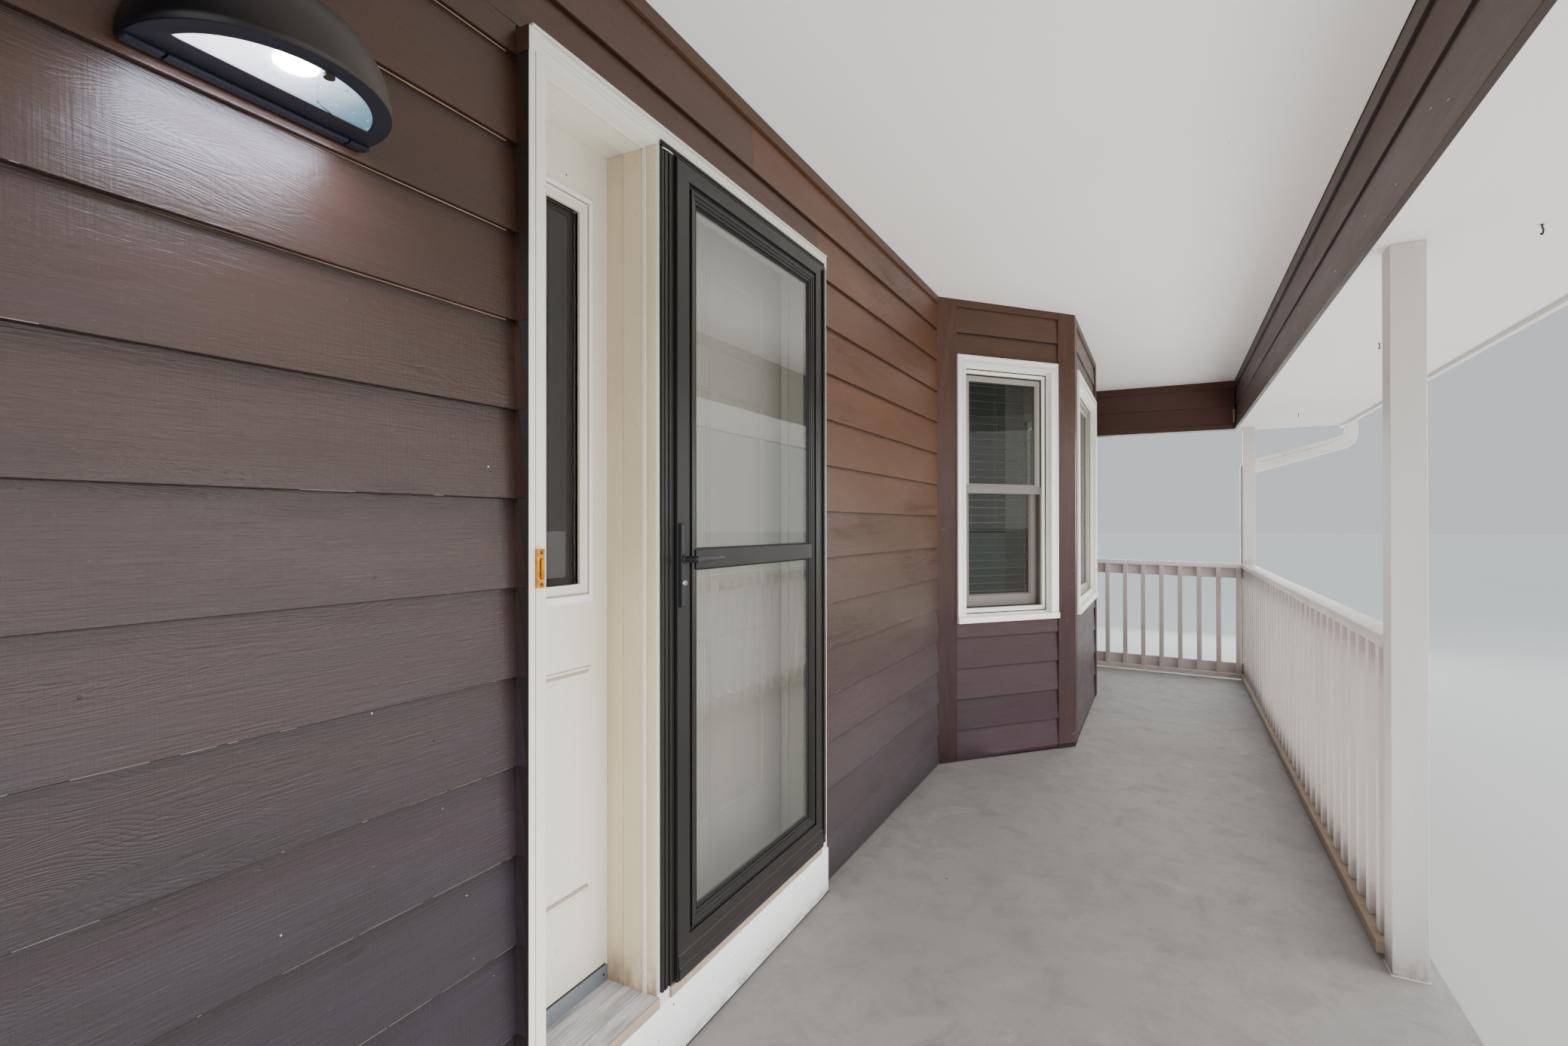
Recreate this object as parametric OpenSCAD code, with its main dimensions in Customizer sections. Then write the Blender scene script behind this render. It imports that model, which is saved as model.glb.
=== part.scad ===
// Covered front porch with the house wall behind it: a storm door over an
// inward entry door, a sidelight, a three-sided bay window, lap siding, a
// dropped header, square posts, a square-baluster railing, a boarded ceiling
// and soffit, a gutter with its downspout and a sloped roof.
// X runs along the porch, -Y faces the street, +Z is up, Z = 0 is the ground.

/* [Porch] */
// Length over the two gable ends
porch_len = 8015; // [7900:5:8200]
// Height of the concrete slab at the wall
slab_h = 160; // [140:1:220]
// Fall of the slab towards the street, per mm
slab_fall = 0.0186; // [0.01:0.001:0.03]
// Street edge of the slab, from the wall trim face
slab_front = 1864; // [1850:2:1900]
// Height of the boarded ceiling above the slab
ceil_h = 2609; // [2600:1:2700]
// Height of the soffit and header bottom above the slab
soffit_h = 2181; // [2150:1:2200]

/* [Wall] */
// Thickness of the framed wall from sheathing to plaster
wall_t = 160; // [140:2:180]
// Exposed height of one siding course
lap = 173.2; // [160:0.1:180]
// Exposed height of one siding course on the bay
bay_lap = 173; // [165:0.1:180]
// Thickness of the siding at its butt edge
lap_t = 16; // [12:1:18]

/* [Bay] */
// Start of the bay along the wall
bay_x = 4307; // [4250:1:4350]
// Run of a bay side along the wall
bay_run = 737; // [700:1:760]
// Depth of the bay from the wall
bay_d = 634; // [600:1:650]
// Width of the bay front
bay_w = 1576; // [1500:1:1600]

/* [Doors] */
// Left edge of the door unit casing
unit_x = 1290; // [1280:1:1300]
// Clear width of the door opening
door_w = 900; // [880:1:910]
// Thickness of the entry door
door_t = 44; // [40:1:45]

/* [Posts and railing] */
// Side of a square post
post = 89; // [85:1:95]
// Side of a square baluster
bal = 38; // [34:1:40]
// Balusters in the front railing
front_n = 34; // [30:1:34]
// Balusters in the far railing
far_n = 12; // [10:1:12]

/* [Roof] */
// Height of the roof underside at the fascia
roof_z = 2500; // [2490:1:2520]
// Rise of the roof per mm of run
pitch = 0.5; // [0.48:0.01:0.5]
// Vertical thickness of the roof deck
roof_t = 145; // [120:1:160]

/* [Hidden] */
e = 0.01;
$fn = 48;
// colours
brown = "#5a463e";
white = "#dcd8d0";
cream = "#d8d2c2";
dark = "#35322f";
grey = "#8f8a84";
// origin under the centre of the whole object
cx = porch_len / 2;
cy = -1178.5;
// levels
zc = slab_h + ceil_h;
zs = slab_h + soffit_h;
ceil_t = 12;
soffit_t = 9;
zt = zc + ceil_t;
// planes across the porch, from the wall trim face
sh = 18;
back = sh + wall_t;
beam_in = -1667;
beam_out = -1809;
soffit_out = -2444;
fascia_out = -2469;
post_in = -1725;
post_out = post_in - post;
gable_t = 140;
// posts along the porch
mid_post = 3080;
far_post = 7818;
near_post = porch_len - far_post - post;
// bay geometry: d is the depth behind the trim face of a side
ba = atan2(bay_d, bay_run);
function bx(d, y) = bay_x + (d - cos(ba) * y) / sin(ba);
bay_mid = bay_x + bay_run + bay_w / 2;
bay_t = 115;
bs = 20;
bw = bs + 0.05;
bi = bs + bay_t;
// door unit
cas = 46;
side_l = unit_x + 47;
side_r = 1699;
door_l = side_r + cas;
door_r = door_l + door_w;
unit_r = door_r + 52;
sill_z = slab_h + 192;
head_z = slab_h + 2257;
cas_top = slab_h + 2308;
cas_y = -30;
// storm door
st_l = door_l + 12;
st_r = door_r - 18;
st_b = sill_z + 6;
st_t = head_z - 11;
st_y = -45;
st_th = 30;
hinge_x = st_r + 3;
hinge_y = st_y - 4;
lever_x = st_l + 15;
lever_z = slab_h + 1247;
// wall light
li_x = 822;
li_z = 2080;
li_r = 155;
li_h = 142;

module P() { translate([-cx, -cy, 0]) children(); }
// straight prism along X from a list of [y, z] points
module along_x(x1, x2, pts) {
  translate([x1, 0, 0]) rotate([90, 0, 90]) linear_extrude(x2 - x1) polygon(pts);
}
// prism along Y from a list of [x, z] points
module along_y(y1, y2, pts) {
  translate([0, y2, 0]) rotate([90, 0, 0]) linear_extrude(y2 - y1) polygon(pts);
}
module box(a, b) { translate(a) cube([b[0] - a[0], b[1] - a[1], b[2] - a[2]]); }
// mirror about the middle of the bay
module bay_mirror() { translate([2 * bay_mid, 0, 0]) mirror([1, 0, 0]) children(); }
// frame of the near side of the bay: X along the side, Y inwards
module bay_side() { translate([bay_x, 0, 0]) rotate([0, 0, -ba]) children(); }
function fall(y) = slab_h + slab_fall * y;
// everything above the sloping slab top plus a gap
module above_slab(g = 0) {
  intersection() {
    children();
    along_x(-100, porch_len + 100, [[-2700, fall(-2700) + g], [400, fall(400) + g], [400, 4200], [-2700, 4200]]);
  }
}
function roof_u(y) = roof_z + pitch * (y - fascia_out);
// sawtooth section of n lap courses on the line y = s, standing proud towards -Y
function lap_pts(s, z0, n, e1) = concat([[s, z0]],
  [for (k = [0:n - 1]) each [[s - lap_t, z0 + k * e1], [s - 6, z0 + (k + 1) * e1]]],
  [[s, z0 + n * e1]]);

// ---------- ground works ----------
module porch_slab() color(grey) P() {
  intersection() {
    linear_extrude(400) difference() {
      translate([55, -slab_front]) square([porch_len - 110, slab_front + sh]);
      polygon([[bx(bs, sh + 1), sh + 1], [bx(bs, -bay_d + bs), -bay_d + bs],
        [2 * bay_mid - bx(bs, -bay_d + bs), -bay_d + bs], [2 * bay_mid - bx(bs, sh + 1), sh + 1]]);
    }
    along_x(0, porch_len, [[-slab_front - 1, 0], [sh + 1, 0], [sh + 1, fall(sh + 1)], [-slab_front - 1, fall(-slab_front - 1)]]);
  }
}
module foundation() color("#9a9690") P() {
  linear_extrude(slab_h) {
    translate([0, sh]) square([porch_len, wall_t]);
    difference() {
      polygon([[bx(bw, sh), sh], [bx(bw, -bay_d + bw), -bay_d + bw],
        [2 * bay_mid - bx(bw, -bay_d + bw), -bay_d + bw], [2 * bay_mid - bx(bw, sh), sh]]);
      polygon([[bx(bi, sh), sh], [bx(bi, -bay_d + bi), -bay_d + bi],
        [2 * bay_mid - bx(bi, -bay_d + bi), -bay_d + bi], [2 * bay_mid - bx(bi, sh), sh]]);
    }
  }
}

// ---------- house wall ----------
module wall_left() color("#b9b1a4") P() box([0, sh, slab_h], [unit_x + 22, back, zt]);
module wall_over_door() color("#b9b1a4") P() box([unit_x + 22, sh, head_z + 33], [door_r + 32, back, zt]);
module wall_right() color("#b9b1a4") P() {
  box([door_r + 32, sh, slab_h], [bx(bi, sh), back, zt]);
  box([2 * bay_mid - bx(bi, sh), sh, slab_h], [porch_len, back, zt]);
}
module wall_upper() color("#b9b1a4") P()
  along_x(0, porch_len, [[sh, zt], [back, zt], [back, roof_u(back)], [sh, roof_u(sh)]]);

// opening sizes of the bay windows, in the side frame and along the front
w_u1 = 152; w_u2 = 801.5;
f_u1 = 5200; f_u2 = 2 * (bay_x + bay_run + bay_w / 2) - 5200;
w_z1 = slab_h + 800; w_z2 = slab_h + 2260;
// clear opening inside the window frames
w_i1 = w_u1 + 50.75; w_i2 = w_u2 - 50.75;
w_b = slab_h + 850; w_t = slab_h + 2203;
module bay_side_wall() {
  difference() {
    translate([0, 0, slab_h]) linear_extrude(zc - slab_h)
      polygon([[bx(bw, sh), sh], [bx(bw, -bay_d + bw), -bay_d + bw],
        [bx(bi, -bay_d + bi), -bay_d + bi], [bx(bi, sh), sh]]);
    bay_side() box([w_u1, -50, w_z1], [w_u2, 200, w_z2]);
  }
}
module bay_wall_near() color("#b9b1a4") P() bay_side_wall();
module bay_wall_far() color("#b9b1a4") P() bay_mirror() bay_side_wall();
module bay_wall_front() color("#b9b1a4") P() difference() {
  translate([0, 0, slab_h]) linear_extrude(zc - slab_h)
    polygon([[bx(bw, -bay_d + bw), -bay_d + bw], [2 * bay_mid - bx(bw, -bay_d + bw), -bay_d + bw],
      [2 * bay_mid - bx(bi, -bay_d + bi), -bay_d + bi], [bx(bi, -bay_d + bi), -bay_d + bi]]);
  box([f_u1, -bay_d - 50, w_z1], [f_u2, -bay_d + 250, w_z2]);
}
module bay_floor() color("#a58a68") P() translate([0, 0, slab_h]) linear_extrude(190)
  polygon([[bx(bi, sh), back], [bx(bi, sh), sh], [bx(bi, -bay_d + bi), -bay_d + bi],
    [2 * bay_mid - bx(bi, -bay_d + bi), -bay_d + bi], [2 * bay_mid - bx(bi, sh), sh], [2 * bay_mid - bx(bi, sh), back]]);

// ---------- cladding and trim ----------
frieze_z = slab_h + 2570;
lap_z0 = slab_h - 2.5;
far_x = 2 * bay_mid - bay_x - 20;
module wall_siding() color(brown) P() {
  difference() {
    intersection() {
      along_x(0, bay_x + 20, lap_pts(sh, lap_z0, 15, lap));
      box([0, -10, slab_h + 3], [bay_x + 20, sh, frieze_z]);
    }
    box([unit_x, -20, 0], [unit_r, 50, cas_top]);
    box([unit_x - 16, -20, 0], [unit_r + 16, 50, slab_h + 164]);
    bay_side() box([-400, -3, 0], [1200, 400, 3000]);
    translate([li_x, 30, li_z + 60]) rotate([90, 0, 0]) cylinder(r = 50, h = 60);
  }
  difference() {
    intersection() {
      along_x(far_x, porch_len, lap_pts(sh, lap_z0, 15, lap));
      box([far_x, -10, slab_h + 3], [porch_len, sh, frieze_z]);
    }
    bay_mirror() bay_side() box([-400, -3, 0], [1200, 400, 3000]);
  }
}
bay_z0 = slab_h + 1.5 - bay_lap;
bay_frieze = slab_h + 2568;
module bay_side_siding() {
  difference() {
    intersection() {
      bay_side() along_x(118.5, 842.5, lap_pts(bs, bay_z0, 16, bay_lap));
      bay_side() box([118.5, -5, 0], [842.5, bs, bay_frieze]);
    }
    bay_side() box([117, -20, slab_h + 776.5], [835.5, 60, slab_h + 2297.5]);
  }
}
module bay_siding() color(brown) P() above_slab(3) {
  bay_side_siding();
  bay_mirror() bay_side_siding();
  translate([0, -bay_d, 0]) difference() {
    intersection() {
      along_x(bay_x + bay_run + 118.5, bay_x + bay_run + bay_w - 118.5, lap_pts(bs, bay_z0, 16, bay_lap));
      box([bay_x, -5, 0], [bay_x + 3000, bs, bay_frieze]);
    }
    box([f_u1 - 39, -20, slab_h + 776.5], [f_u2 + 39, 60, slab_h + 2297.5]);
  }
}
module corner_pair() {
  linear_extrude(zc) polygon([[bx(0, sh), sh], [bay_x + 118 * cos(ba), -118 * sin(ba)],
    [bay_x + 118 * cos(ba) + bs * sin(ba), -118 * sin(ba) + bs * cos(ba)], [bx(bs, sh), sh]]);
  linear_extrude(zc) polygon([[bay_x + 843 * cos(ba), -843 * sin(ba)], [bay_x + bay_run, -bay_d],
    [bay_x + bay_run + 118, -bay_d], [bay_x + bay_run + 118, -bay_d + bs], [bx(bs, -bay_d + bs), -bay_d + bs],
    [bay_x + 843 * cos(ba) + bs * sin(ba), -843 * sin(ba) + bs * cos(ba)]]);
}
module corner_boards() color(brown) P() above_slab(3) {
  corner_pair();
  bay_mirror() corner_pair();
}
module frieze_boards() color(brown) P() {
  // main wall, both sides of the bay
  difference() {
    box([gable_t, 0, frieze_z], [bay_x + 20, sh, zc - 0.1]);
    bay_side() box([-400, -1, 0], [1200, 400, 3000]);
  }
  difference() {
    box([far_x, 0, frieze_z], [porch_len - gable_t, sh, zc - 0.1]);
    bay_mirror() bay_side() box([-400, -1, 0], [1200, 400, 3000]);
  }
  // over the bay windows
  bay_side() box([118.5, 0, bay_frieze], [842.5, bs, zc - 0.1]);
  bay_mirror() bay_side() box([118.5, 0, bay_frieze], [842.5, bs, zc - 0.1]);
  box([bay_x + bay_run + 118.5, -bay_d, bay_frieze], [bay_x + bay_run + bay_w - 118.5, -bay_d + bs, zc - 0.1]);
}

// ---------- bay windows ----------
// ring in the XZ plane between two depths
module ring(x1, x2, z1, z2, w, y1, y2) {
  difference() {
    box([x1, y1, z1], [x2, y2, z2]);
    box([x1 + w, y1 - 1, z1 + w], [x2 - w, y2 + 1, z2 - w]);
  }
}
// casing with its projecting sill
module casing(x1, x2) {
  difference() {
    box([x1, -12, slab_h + 777], [x2, bs, slab_h + 2297]);
    box([x1 + 54, -13, slab_h + 812], [x2 - 54, bs + 1, slab_h + 2243]);
  }
  box([x1, -20, slab_h + 777], [x2, -12, slab_h + 812]);
}
module window_casings() color(white) P() {
  bay_side() casing(118.5, 835);
  bay_mirror() bay_side() casing(118.5, 835);
  translate([0, -bay_d, 0]) casing(f_u1 - 37.5, f_u2 + 37.5);
}
module hung_sashes() {
  difference() {
    box([w_u1, bs, w_z1], [w_u2, bs + 95, w_z2]);
    box([w_i1, bs - 1, w_b], [w_i2, bs + 96, w_t]);
  }
  // upper sash, then the lower sash behind it with its side stops
  difference() {
    box([w_i1, 48, slab_h + 1517], [w_i2, 76, w_t]);
    box([w_i1 + 40, 47, slab_h + 1575], [w_i2 - 40, 77, w_t - 40]);
  }
  difference() {
    box([w_i1, 78, w_b], [w_i2, 106, slab_h + 1565]);
    box([w_i1 + 60, 77, w_b + 80], [w_i2 - 60, 107, slab_h + 1518]);
  }
}
module window_sashes() color(cream) P() {
  bay_side() hung_sashes();
  bay_mirror() bay_side() hung_sashes();
  translate([0, -bay_d, 0]) {
    difference() {
      box([f_u1, bs, w_z1], [f_u2, bs + 95, w_z2]);
      box([f_u1 + 30, bs - 1, w_b], [f_u2 - 30, bs + 96, w_t]);
    }
    ring(f_u1 + 30, f_u2 - 30, w_b, w_t, 45, 50, 86);
  }
}
module hung_panes() {
  box([w_i1 + 40, 60, slab_h + 1575], [w_i2 - 40, 64, w_t - 40]);
  box([w_i1 + 60, 90, w_b + 80], [w_i2 - 60, 94, slab_h + 1518]);
}
module window_glass() color("#6a7a80", 0.4) P() {
  bay_side() hung_panes();
  bay_mirror() bay_side() hung_panes();
  translate([0, -bay_d, 0]) box([f_u1 + 75, 66, w_b + 45], [f_u2 - 75, 70, w_t - 45]);
  // sidelight pane
  box([side_l + 93, 150, slab_h + 1190], [side_l + 269, 156, slab_h + 2089]);
}
module window_blinds() color("#b5b0a6") P() {
  bay_side() box([w_i1 + 3, 112, w_b + 5], [w_i2 - 3, 134, w_t]);
  bay_mirror() bay_side() box([w_i1 + 3, 112, w_b + 5], [w_i2 - 3, 134, w_t]);
  translate([0, -bay_d, 0]) box([f_u1 + 33, 106, w_b + 5], [f_u2 - 33, 128, w_t]);
}

// ---------- door unit ----------
module door_casing() color(white) P() difference() {
  box([unit_x, cas_y, slab_h + 164], [unit_r, sh, cas_top]);
  box([side_l, cas_y - 1, slab_h + 100], [side_r, sh + 1, head_z]);
  box([door_l, cas_y - 1, slab_h + 100], [door_r, sh + 1, head_z]);
}
module door_frame() color(cream) P() {
  difference() {
    box([unit_x + 22, sh, sill_z], [door_r + 32, back, head_z + 33]);
    box([side_l, sh - 1, sill_z - 1], [side_r, back + 1, head_z]);
    box([door_l, sh - 1, sill_z - 1], [door_r, back + 1, head_z]);
  }
  // stops of the entry door
  difference() {
    box([door_l, 98, sill_z], [door_r, 125, head_z]);
    box([door_l + 13, 97, sill_z - 1], [door_r - 13, 126, head_z - 13]);
  }
}
module door_sill() color("#8d877e") P() {
  box([unit_x + 22, sh, slab_h], [door_r + 32, back, sill_z]);
  box([side_l, -34, slab_h + 164], [side_r, sh, sill_z]);
  box([door_l, -34, slab_h + 164], [door_r, sh, sill_z]);
}
module riser_board() color("#f0eee8") P() box([unit_x - 16, cas_y, slab_h + 3], [unit_r + 16, sh, slab_h + 164]);
module sidelight_panel() color(white) P() difference() {
  box([side_l, 133, sill_z], [side_r, 177, head_z]);
  box([side_l + 93, 132, slab_h + 1190], [side_l + 269, 178, slab_h + 2089]);
}
en_l = door_l + 5; en_r = door_r - 5;
module entry_door() color("#e6e2da") P() {
  difference() {
    box([en_l, 131, sill_z + 6], [en_r, 131 + door_t, head_z - 6]);
    // sunk fields of the six panels, both faces
    for (c = [0, 1], r = [[sill_z + 230, sill_z + 800], [sill_z + 930, sill_z + 1560], [sill_z + 1680, sill_z + 1930]])
      for (f = [[130, 137], [125 + door_t, 132 + door_t]])
        box([en_l + 125 + c * 345, f[0], r[0]], [en_l + 420 + c * 345, f[1], r[1]]);
  }
  // three butt hinges on the room side
  for (z = [sill_z + 200, sill_z + 1000, sill_z + 1800]) {
    translate([en_r + 2.5, 141 + door_t, z]) cylinder(r = 6, h = 100);
    box([en_r - 16, 131 + door_t, z + 2], [en_r + 1, 141 + door_t, z + 98]);
  }
}
module entry_knob() color("#b08d4a") P() {
  for (s = [[131, 1], [131 + door_t, -1]]) translate([en_l + 70, s[0], sill_z + 960]) rotate([90 * s[1], 0, 0]) {
    cylinder(r = 33, h = 7);
    cylinder(r = 11, h = 40);
    translate([0, 0, 33]) cylinder(r1 = 20, r2 = 27, h = 10);
    translate([0, 0, 43]) cylinder(r = 27, h = 14);
  }
  translate([en_l + 70, 131, sill_z + 1110]) rotate([90, 0, 0]) cylinder(r = 27, h = 16);
  translate([en_l + 70, 131 + door_t, sill_z + 1110]) rotate([-90, 0, 0]) cylinder(r = 27, h = 16);
}

// ---------- storm door ----------
module storm_frame() color(dark) P() {
  // latch side, hinge side and head: leg in the opening, flange on the casing
  box([door_l, -38, sill_z + 9], [door_l + 6, 0, head_z]);
  box([side_r + 4, -38, sill_z + 9], [door_l, cas_y, head_z]);
  box([door_r - 12, -38, sill_z + 9], [door_r, 0, head_z]);
  box([door_r, -38, sill_z + 9], [door_r + 19, cas_y, head_z]);
  box([door_l + 6, -38, head_z - 5], [door_r - 12, 0, head_z]);
  box([side_r + 4, -38, head_z], [door_r + 19, cas_y, head_z + 11]);
  // hinge barrel along the hinge side
  translate([hinge_x, hinge_y, sill_z + 48]) cylinder(r = 2.8, h = head_z - sill_z - 70);
  box([hinge_x, hinge_y, sill_z + 48], [hinge_x + 12, -38, head_z - 22]);
}
lg_l = st_l + 97; lg_r = st_r - 97;
module storm_leaf() color(dark) P() difference() {
  box([st_l, st_y, st_b], [st_r, st_y + st_th, st_t]);
  box([lg_l, st_y - 1, slab_h + 500 - 160], [lg_r, st_y + st_th + 1, slab_h + 1218]);
  box([lg_l, st_y - 1, slab_h + 1269], [lg_r, st_y + st_th + 1, slab_h + 2160]);
  // spindle hole of the lever
  translate([lever_x, 0, lever_z]) rotate([90, 0, 0]) cylinder(r = 4.5, h = 200, center = true);
}
module storm_glass() color("#7d8f96", 0.35) P() {
  box([lg_l, st_y + 14, slab_h + 500 - 160], [lg_r, st_y + 18, slab_h + 1218]);
  box([lg_l, st_y + 14, slab_h + 1269], [lg_r, st_y + 18, slab_h + 2160]);
}
module storm_handle_plate() color("#1f1e1d") P() {
  difference() {
    box([lever_x - 10, st_y - 10, slab_h + 1127], [lever_x + 10, st_y, slab_h + 1336]);
    translate([lever_x, 0, lever_z]) rotate([90, 0, 0]) cylinder(r = 4.5, h = 200, center = true);
  }
  translate([lever_x, st_y - 9.9, slab_h + 1187]) rotate([90, 0, 0]) cylinder(r = 7.5, h = 5.1);
  difference() {
    box([lever_x - 10, st_y + st_th, slab_h + 1127], [lever_x + 10, st_y + st_th + 9, slab_h + 1336]);
    translate([lever_x, 0, lever_z]) rotate([90, 0, 0]) cylinder(r = 4.5, h = 200, center = true);
  }
}
module storm_lever() color("#1f1e1d") P() {
  translate([lever_x, st_y - 55, lever_z]) rotate([-90, 0, 0]) cylinder(r = 4, h = 132);
  // outside grip
  translate([lever_x, st_y - 11, lever_z]) rotate([90, 0, 0]) cylinder(r = 8.5, h = 46);
  box([lever_x - 8, st_y - 57, lever_z - 8], [lever_x + 123, st_y - 45, lever_z + 8]);
  // inside grip
  translate([lever_x, st_y + st_th + 40, lever_z]) rotate([90, 0, 0]) cylinder(r = 8.5, h = 30);
  box([lever_x - 8, st_y + st_th + 38, lever_z - 8], [lever_x + 100, st_y + st_th + 48, lever_z + 8]);
}

// ---------- fittings ----------
module doorbell() color("#c79a3a") P() {
  box([unit_x + 16, cas_y - 8, slab_h + 1209], [unit_x + 34, cas_y, slab_h + 1285]);
  box([unit_x + 20, cas_y - 14, slab_h + 1226], [unit_x + 30, cas_y - 8, slab_h + 1268]);
}
module light_shape(o) {
  // half round hood on a straight back part
  translate([li_x, -25, li_z]) intersection() {
    rotate_extrude() polygon(concat([[0, 0]], [for (a = [0:6:90]) [(li_r - o) * cos(a), (li_h - o) * sin(a)]]));
    translate([-200, -300, 0]) cube([400, 300, 400]);
  }
  translate([li_x, 2, li_z]) rotate([90, 0, 0]) linear_extrude(27)
    polygon([for (a = [0:6:180]) [(li_r - o) * cos(a), (li_h - o) * sin(a)]]);
}
module wall_light_hood() color("#1b1b1d") P() {
  difference() {
    light_shape(0);
    difference() {
      translate([0, 0, -e]) light_shape(4);
      box([li_x - 200, -2, li_z - 1], [li_x + 200, 4, li_z + 200]);
    }
  }
  // round box behind the hood, let into the siding
  translate([li_x, sh, li_z + 60]) rotate([90, 0, 0]) cylinder(r = 48, h = sh - 2);
}
module wall_light_lens() color("#dfe4ea", 0.6) P() translate([0, 0, li_z + 3]) linear_extrude(5) {
  translate([li_x, -25]) intersection() {
    circle(r = li_r - 5);
    translate([-200, -200]) square([400, 200]);
  }
  translate([li_x - li_r + 6, -25]) square([2 * li_r - 12, 22]);
}

// ---------- roof structure over the porch ----------
module porch_ceiling() color("#cfcbc6") P() box([gable_t, beam_in, zc], [porch_len - gable_t, sh, zt]);
// header with its clad inner face: two courses between a top and a bottom board
function clad(y0, s) = [[y0, zs], [y0, zs + 45], [y0 + s * 5, zs + 45], [y0 + s * 13, zs + 206],
  [y0 + s * 4, zs + 206], [y0 + s * 12, zs + 366], [y0, zs + 366]];
module front_beam() color(brown) P()
  along_x(0, porch_len, concat([[beam_out, zt], [beam_out, zs + soffit_t], [beam_in - 20, zs + soffit_t], [beam_in - 20, zs]],
    clad(beam_in, -1), [[beam_in, zc], [beam_in, zc], [beam_in, zt]]));
module end_beams() color(brown) P() {
  for (s = [0, 1]) translate([s * porch_len, 0, 0]) mirror([s, 0, 0])
    along_y(beam_in, -0.5, concat([[0, zc], [0, zs]], clad(gable_t, -1), [[gable_t, zc]]));
}
module outer_soffit() color(white) P() box([0, soffit_out, zs], [porch_len, beam_in - 20, zs + soffit_t]);
module fascia_boards() color(white) P() {
  along_x(-20, porch_len + 20, [[fascia_out, zs - 22], [soffit_out, zs - 22], [soffit_out, roof_u(fascia_out)], [fascia_out, roof_u(fascia_out)]]);
  // sloping rake boards on the two ends
  for (x = [-20, porch_len]) along_x(x, x + 20, [[soffit_out, zs + 5], [soffit_out + 60, zs + 5],
    [back, roof_u(back) - 150], [back, roof_u(back)], [soffit_out, roof_u(soffit_out)]]);
}
module gable_walls() color(brown) P() {
  for (x = [0, porch_len - gable_t]) along_x(x, x + gable_t, [[soffit_out, zs + soffit_t], [beam_out, zs + soffit_t],
    [beam_out, zt], [sh, zt], [sh, roof_u(sh)], [soffit_out, roof_u(soffit_out)]]);
  // strip of end wall between the end beam and the ceiling line
  for (x = [0, porch_len - gable_t]) box([x, beam_in, zc], [x + gable_t, sh, zt]);
}
module roof_deck() color("#4b4643") P() along_x(-40, porch_len + 40, [[fascia_out - 20, roof_u(fascia_out - 20)],
  [back, roof_u(back)], [back, roof_u(back) + roof_t], [fascia_out - 20, roof_u(fascia_out - 20) + roof_t]]);
module gutter() color(white) P() difference() {
  along_x(-25, porch_len + 25, [[fascia_out, zs + 35], [fascia_out - 80, zs + 35], [fascia_out - 90, zs + 70],
    [fascia_out - 120, zs + 112], [fascia_out - 120, zs + 130], [fascia_out, zs + 137]]);
  along_x(-22, porch_len + 22, [[fascia_out - 3, zs + 38], [fascia_out - 78, zs + 38], [fascia_out - 87, zs + 71],
    [fascia_out - 116.5, zs + 113], [fascia_out - 116.5, zs + 140], [fascia_out - 3, zs + 140]]);
}
// downspout: flat bends from the gutter to the corner post, kicked out at the foot
dn_x = far_post + post + 5;
dn_y = -1712;
module downspout() color(white) P() {
  along_x(dn_x, dn_x + 76, [[-2471, zs + 35], [-2471, zs - 50], [-2455, zs - 80], [-2428, zs - 99], [dn_y - 60, zs - 277], [dn_y - 14, zs - 300],
    [dn_y, zs - 340], [dn_y, 330], [dn_y - 102, 330], [dn_y - 102, zs - 372], [dn_y - 112, zs - 385], [-2478, zs - 201], [-2530, zs - 165],
    [-2548, zs - 105], [-2548, zs + 35]]);
  along_y(dn_y - 102, dn_y, [[dn_x, 330], [dn_x + 76, 330], [dn_x + 76, 290], [dn_x + 115, 245], [dn_x + 115, 165], [dn_x + 60, 210], [dn_x, 270]]);
}

// ---------- posts and railing ----------
module porch_posts() color(white) P() above_slab() {
  for (x = [near_post, mid_post, far_post]) box([x, post_out, 0], [x + post, post_in, zs]);
}
cap_z = slab_h + 986.5;
cap_t = 38;
// far railing members follow the fall of the slab
function far_z(z, y) = z + slab_fall * y;
module far_member(x1, x2, y1, y2, z1, z2)
  along_x(x1, x2, [[y1, far_z(z1, y1)], [y2, far_z(z1, y2)], [y2, far_z(z2, y2)], [y1, far_z(z2, y1)]]);
far_cap = slab_h + 1023;
far_bot = slab_h + 61;
module rail_caps() color(white) P() {
  box([mid_post + post, post_in - 80, cap_z - cap_t], [far_post, post_in + 9, cap_z]);
  far_member(far_post - 8, far_post + 81, post_in, -1, far_cap - cap_t, far_cap);
}
module back_rails() color(white) P() {
  box([mid_post + post, -1798, cap_z - cap_t - 89], [far_post, -1760, cap_z - cap_t]);
  box([mid_post + post, -1798, slab_h + 26], [far_post, -1760, slab_h + 115]);
  box([mid_post + post, -1798, slab_h - 12], [far_post, -1704, slab_h + 26]);
  far_member(far_post + 37, far_post + 75, post_in, -1, far_cap - cap_t - 89, far_cap - cap_t);
  far_member(far_post + 37, far_post + 75, post_in, -1, far_bot, far_bot + 89);
  far_member(far_post - 20, far_post + 75, post_in, -1, far_bot - 38, far_bot);
}
module balusters() color(white) P() {
  step = (far_post - mid_post - post) / front_n;
  for (k = [0:front_n - 1]) translate([mid_post + post + (k + 0.5) * step - bal / 2, 0, 0])
    box([0, -1722 - bal, slab_h + 26], [bal, -1722, cap_z - cap_t]);
  for (k = [0:far_n - 1]) far_member(far_post - 1, far_post - 1 + bal, -33.5 - 150.4 * k - bal / 2, -33.5 - 150.4 * k + bal / 2,
    far_bot, far_cap - cap_t - 0.1);
}

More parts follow.
